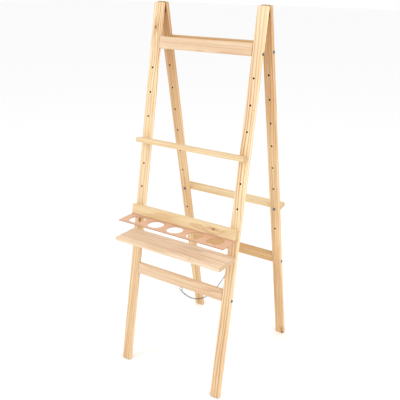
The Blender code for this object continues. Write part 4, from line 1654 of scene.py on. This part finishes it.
@dataclass
class FrontFittings:
    """The board, the perforated plate and the shelf on the front frame, with their screws."""

    ladder: LadderFrame
    board_thickness: float = 24 * MM
    board_hole: int = 7
    board_rise: float = 21 * MM
    shelf_hole: int = 8
    plate_thickness: float = 4 * MM
    cup: float = 66 * MM
    cup_pitch: float = 93 * MM
    cup_count: int = 5
    cup_inset: float = 44 * MM
    plate_screw_reach: float = 140 * MM
    plate_screw_length: float = 20 * MM
    nose: float = 5 * MM
    groove_inset: float = 13 * MM
    groove: float = 4 * MM

    def level_plank(self, node: str, outline: Outline, finish: Finish, **more: Any) -> None:
        """A plank with its grain across the easel, from an outline in the easel's own (y, z).

        Args:
            node: The CAD node that it replaces.
            outline: Its section's points, anticlockwise seen from the easel's right.
            finish: Its finish.
            **more: The plank's other fields.
        """
        low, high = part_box(node)
        middle = (low + high) / 2
        centred = [(y - middle.y, z - middle.z) for y, z in outline]
        place = basis(*CROSSWISE, middle)
        plank = Plank(f"{node}_panel", centred, high.x - low.x, place, finish, **more)
        finished(plank.name, plank.mesh(), finish, "front_frame", [node])

    def board(self) -> None:
        """The board behind the cups: square to the legs, with a level underside."""
        low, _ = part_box("back_board")
        s = self.ladder.sizes
        near = s.outer_face + s.seat_gap
        far = near + self.board_thickness
        drop = s.hole_drop(self.board_hole) - self.board_rise
        corners = [self.ladder.at(0, out, drop) for out in (near, far)]
        slide = self.ladder.way(0, 0, -1)
        feet = [corner + slide * ((low.z - corner.z) / slide.z) for corner in corners]
        outline = [(p.y, p.z) for p in (feet[1], feet[0], corners[0], corners[1])]
        self.level_plank(
            "back_board",
            outline,
            BOARD_PINE,
            heart=(0.07, -0.02),
            tilt=(0.03, 0.01),
            knots=(Knot(0.004, 0.15, sideways=True),),
        )

    def plate(self) -> None:
        """The level plate under the board, with its row of round holes."""
        low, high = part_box("cup_plate")
        middle_y = (low.y + high.y) / 2
        span = (self.cup_count - 1) * self.cup_pitch
        holes = {
            "Start": (low.y + self.cup_inset - middle_y, 0.0, -span / 2),
            "Pitch": self.cup_pitch,
            "Count": self.cup_count,
            "Sides": 96,
            "Diameter": self.cup,
            "Thickness": self.plate_thickness,
        }
        outline = [(low.y, low.z), (high.y, low.z), (high.y, high.z), (low.y, high.z)]
        self.level_plank(
            "cup_plate", outline, PLATE_HARDBOARD, heart=(0.0, 0.0), edge=0.4 * MM, edge_steps=2, holes=holes
        )

    def shelf(self) -> None:
        """The shelf: level, with a rounded nose and one shallow groove that stops a pencil."""
        low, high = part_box("shelf")
        s = self.ladder.sizes
        near = s.outer_face + s.seat_gap
        slope = math.tan(LEAN)
        top_rear = HINGE_PIN.y + (high.z - HINGE_PIN.z) * slope - near / math.cos(LEAN)
        foot_rear = top_rear - (high.z - low.z) * slope
        radius = self.nose
        outline = arc(low.y + radius, low.z + radius, radius, 1.5 * math.pi, math.pi, 8)
        outline += arc(low.y + radius, high.z - radius, radius, math.pi, math.pi / 2, 8)
        groove = low.y + self.groove_inset + self.groove / 2
        outline += arc(groove, high.z, self.groove / 2, math.pi, math.tau, 10)
        outline += [(top_rear, high.z), (foot_rear, low.z)]
        outline.reverse()
        self.level_plank(
            "shelf",
            outline,
            SHELF_PINE,
            heart=(0.05, -0.09),
            tilt=(0.05, 0.02),
            edge=0.6 * MM,
            edge_steps=3,
        )

    def screws(self) -> None:
        """The screws that hold the board and the shelf from behind the legs, and the plate from below."""
        s = self.ladder.sizes
        inner = s.inner_face - s.seat_gap
        fixings, nodes = [], []
        for fitting, hole in (("board", self.board_hole), ("shelf", self.shelf_hole)):
            for hand, sign in HANDS:
                place = self.ladder.at(sign * s.leg_centre, inner, s.hole_drop(hole))
                fixings.append((place, self.ladder.way(0, 1, 0)))
                nodes.append(f"{fitting}_screw_{hand}")
        length = s.thickness + SIZES.fixing_reach
        screw = pan_screw("fixing_screw", SIZES.fixing, SIZES.bolt_head, SIZES.fixing_head_height, length)
        place_fasteners("board_and_shelf_screws", screw, fixings, "front_frame", nodes, BOLT_ZINC)
        under, nodes = [], []
        down = Vector((0, 0, -1))
        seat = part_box("cup_plate")[0].z - s.seat_gap
        for hand, sign in HANDS:
            low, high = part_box(f"plate_screw_{hand}")
            middle_y = (low.y + high.y) / 2
            under.append((Vector((sign * self.plate_screw_reach, middle_y, seat)), down))
            nodes.append(f"plate_screw_{hand}")
        screw = pan_screw(
            "plate_screw",
            SIZES.plate_screw,
            SIZES.plate_screw_head,
            SIZES.plate_screw_head_height,
            self.plate_screw_length,
        )
        place_fasteners("plate_screws", screw, under, "front_frame", nodes, BOLT_ZINC)

    def build(self) -> None:
        """Builds the fittings."""
        self.board()
        self.plate()
        self.shelf()
        self.screws()


@dataclass
class LeafScrews:
    """The countersunk screws that hold the hinge leaves on the legs' inner faces."""

    drops: tuple[float, float] = (14 * MM, 30 * MM)
    leaf: float = 1.2 * MM
    length: float = 15 * MM

    def build(self, ladder: LadderFrame) -> None:
        """The four screws of one ladder frame's leaves."""
        half, shank = SIZES.leaf_screw_head / 2, SIZES.leaf_screw / 2
        head = [(half - 0.1 * MM, 0.0), (half, -0.15 * MM), (shank + 0.3 * MM, -self.leaf)]
        screw = Fastener(
            "leaf_screw",
            head,
            SIZES.leaf_screw,
            self.length,
            Drive.CROSS,
            0.6 * SIZES.leaf_screw_head,
            1 * MM,
            2 * MM,
            1.2 * MM,
            SIZES.leaf_screw,
        )
        places, nodes = [], []
        for hand, sign in HANDS:
            for number, drop in enumerate(self.drops, start=1):
                place = ladder.at(sign * ladder.sizes.leg_centre, ladder.sizes.seat_gap, drop)
                places.append((place, ladder.way(0, 1, 0)))
                nodes.append(f"hinge_{hand}_{ladder.name}_screw_{number}")
        place_fasteners(f"{ladder.name}_leaf_screws", screw, places, ladder.body, nodes, BOLT_ZINC)


def main() -> None:
    """Builds the easel, its camera and its studio."""
    logging.basicConfig(level=logging.INFO, format="%(message)s")
    studio = Studio()
    studio.camera()
    spreader = SpreaderChain()
    spreader.chain()
    front = LadderFrame(
        "front",
        False,
        ledge_hole=4,
        bolts_ride="front_frame",
        leg_knots=((Knot(-0.003, 0.655), Knot(0.005, -0.122)), ()),
    )
    rear = LadderFrame(
        "rear",
        True,
        ledge_hole=7,
        bolts_ride="rear_ledge",
        leg_finish=SHADED_REAR_PINE,
        rail_finish=SHADED_REAR_RAIL_PINE,
        leg_hearts=((0.04, 0.05), (-0.055, 0.02)),
        leg_knots=((), (Knot(-0.014, -0.741),)),
    )
    for ladder in (front, rear):
        ladder.build()
        spreader.eye(ladder)
        LeafScrews().build(ladder)
    FrontFittings(front).build()
    Hinges().build()
    studio.build()


if __name__ == "__main__":
    main()
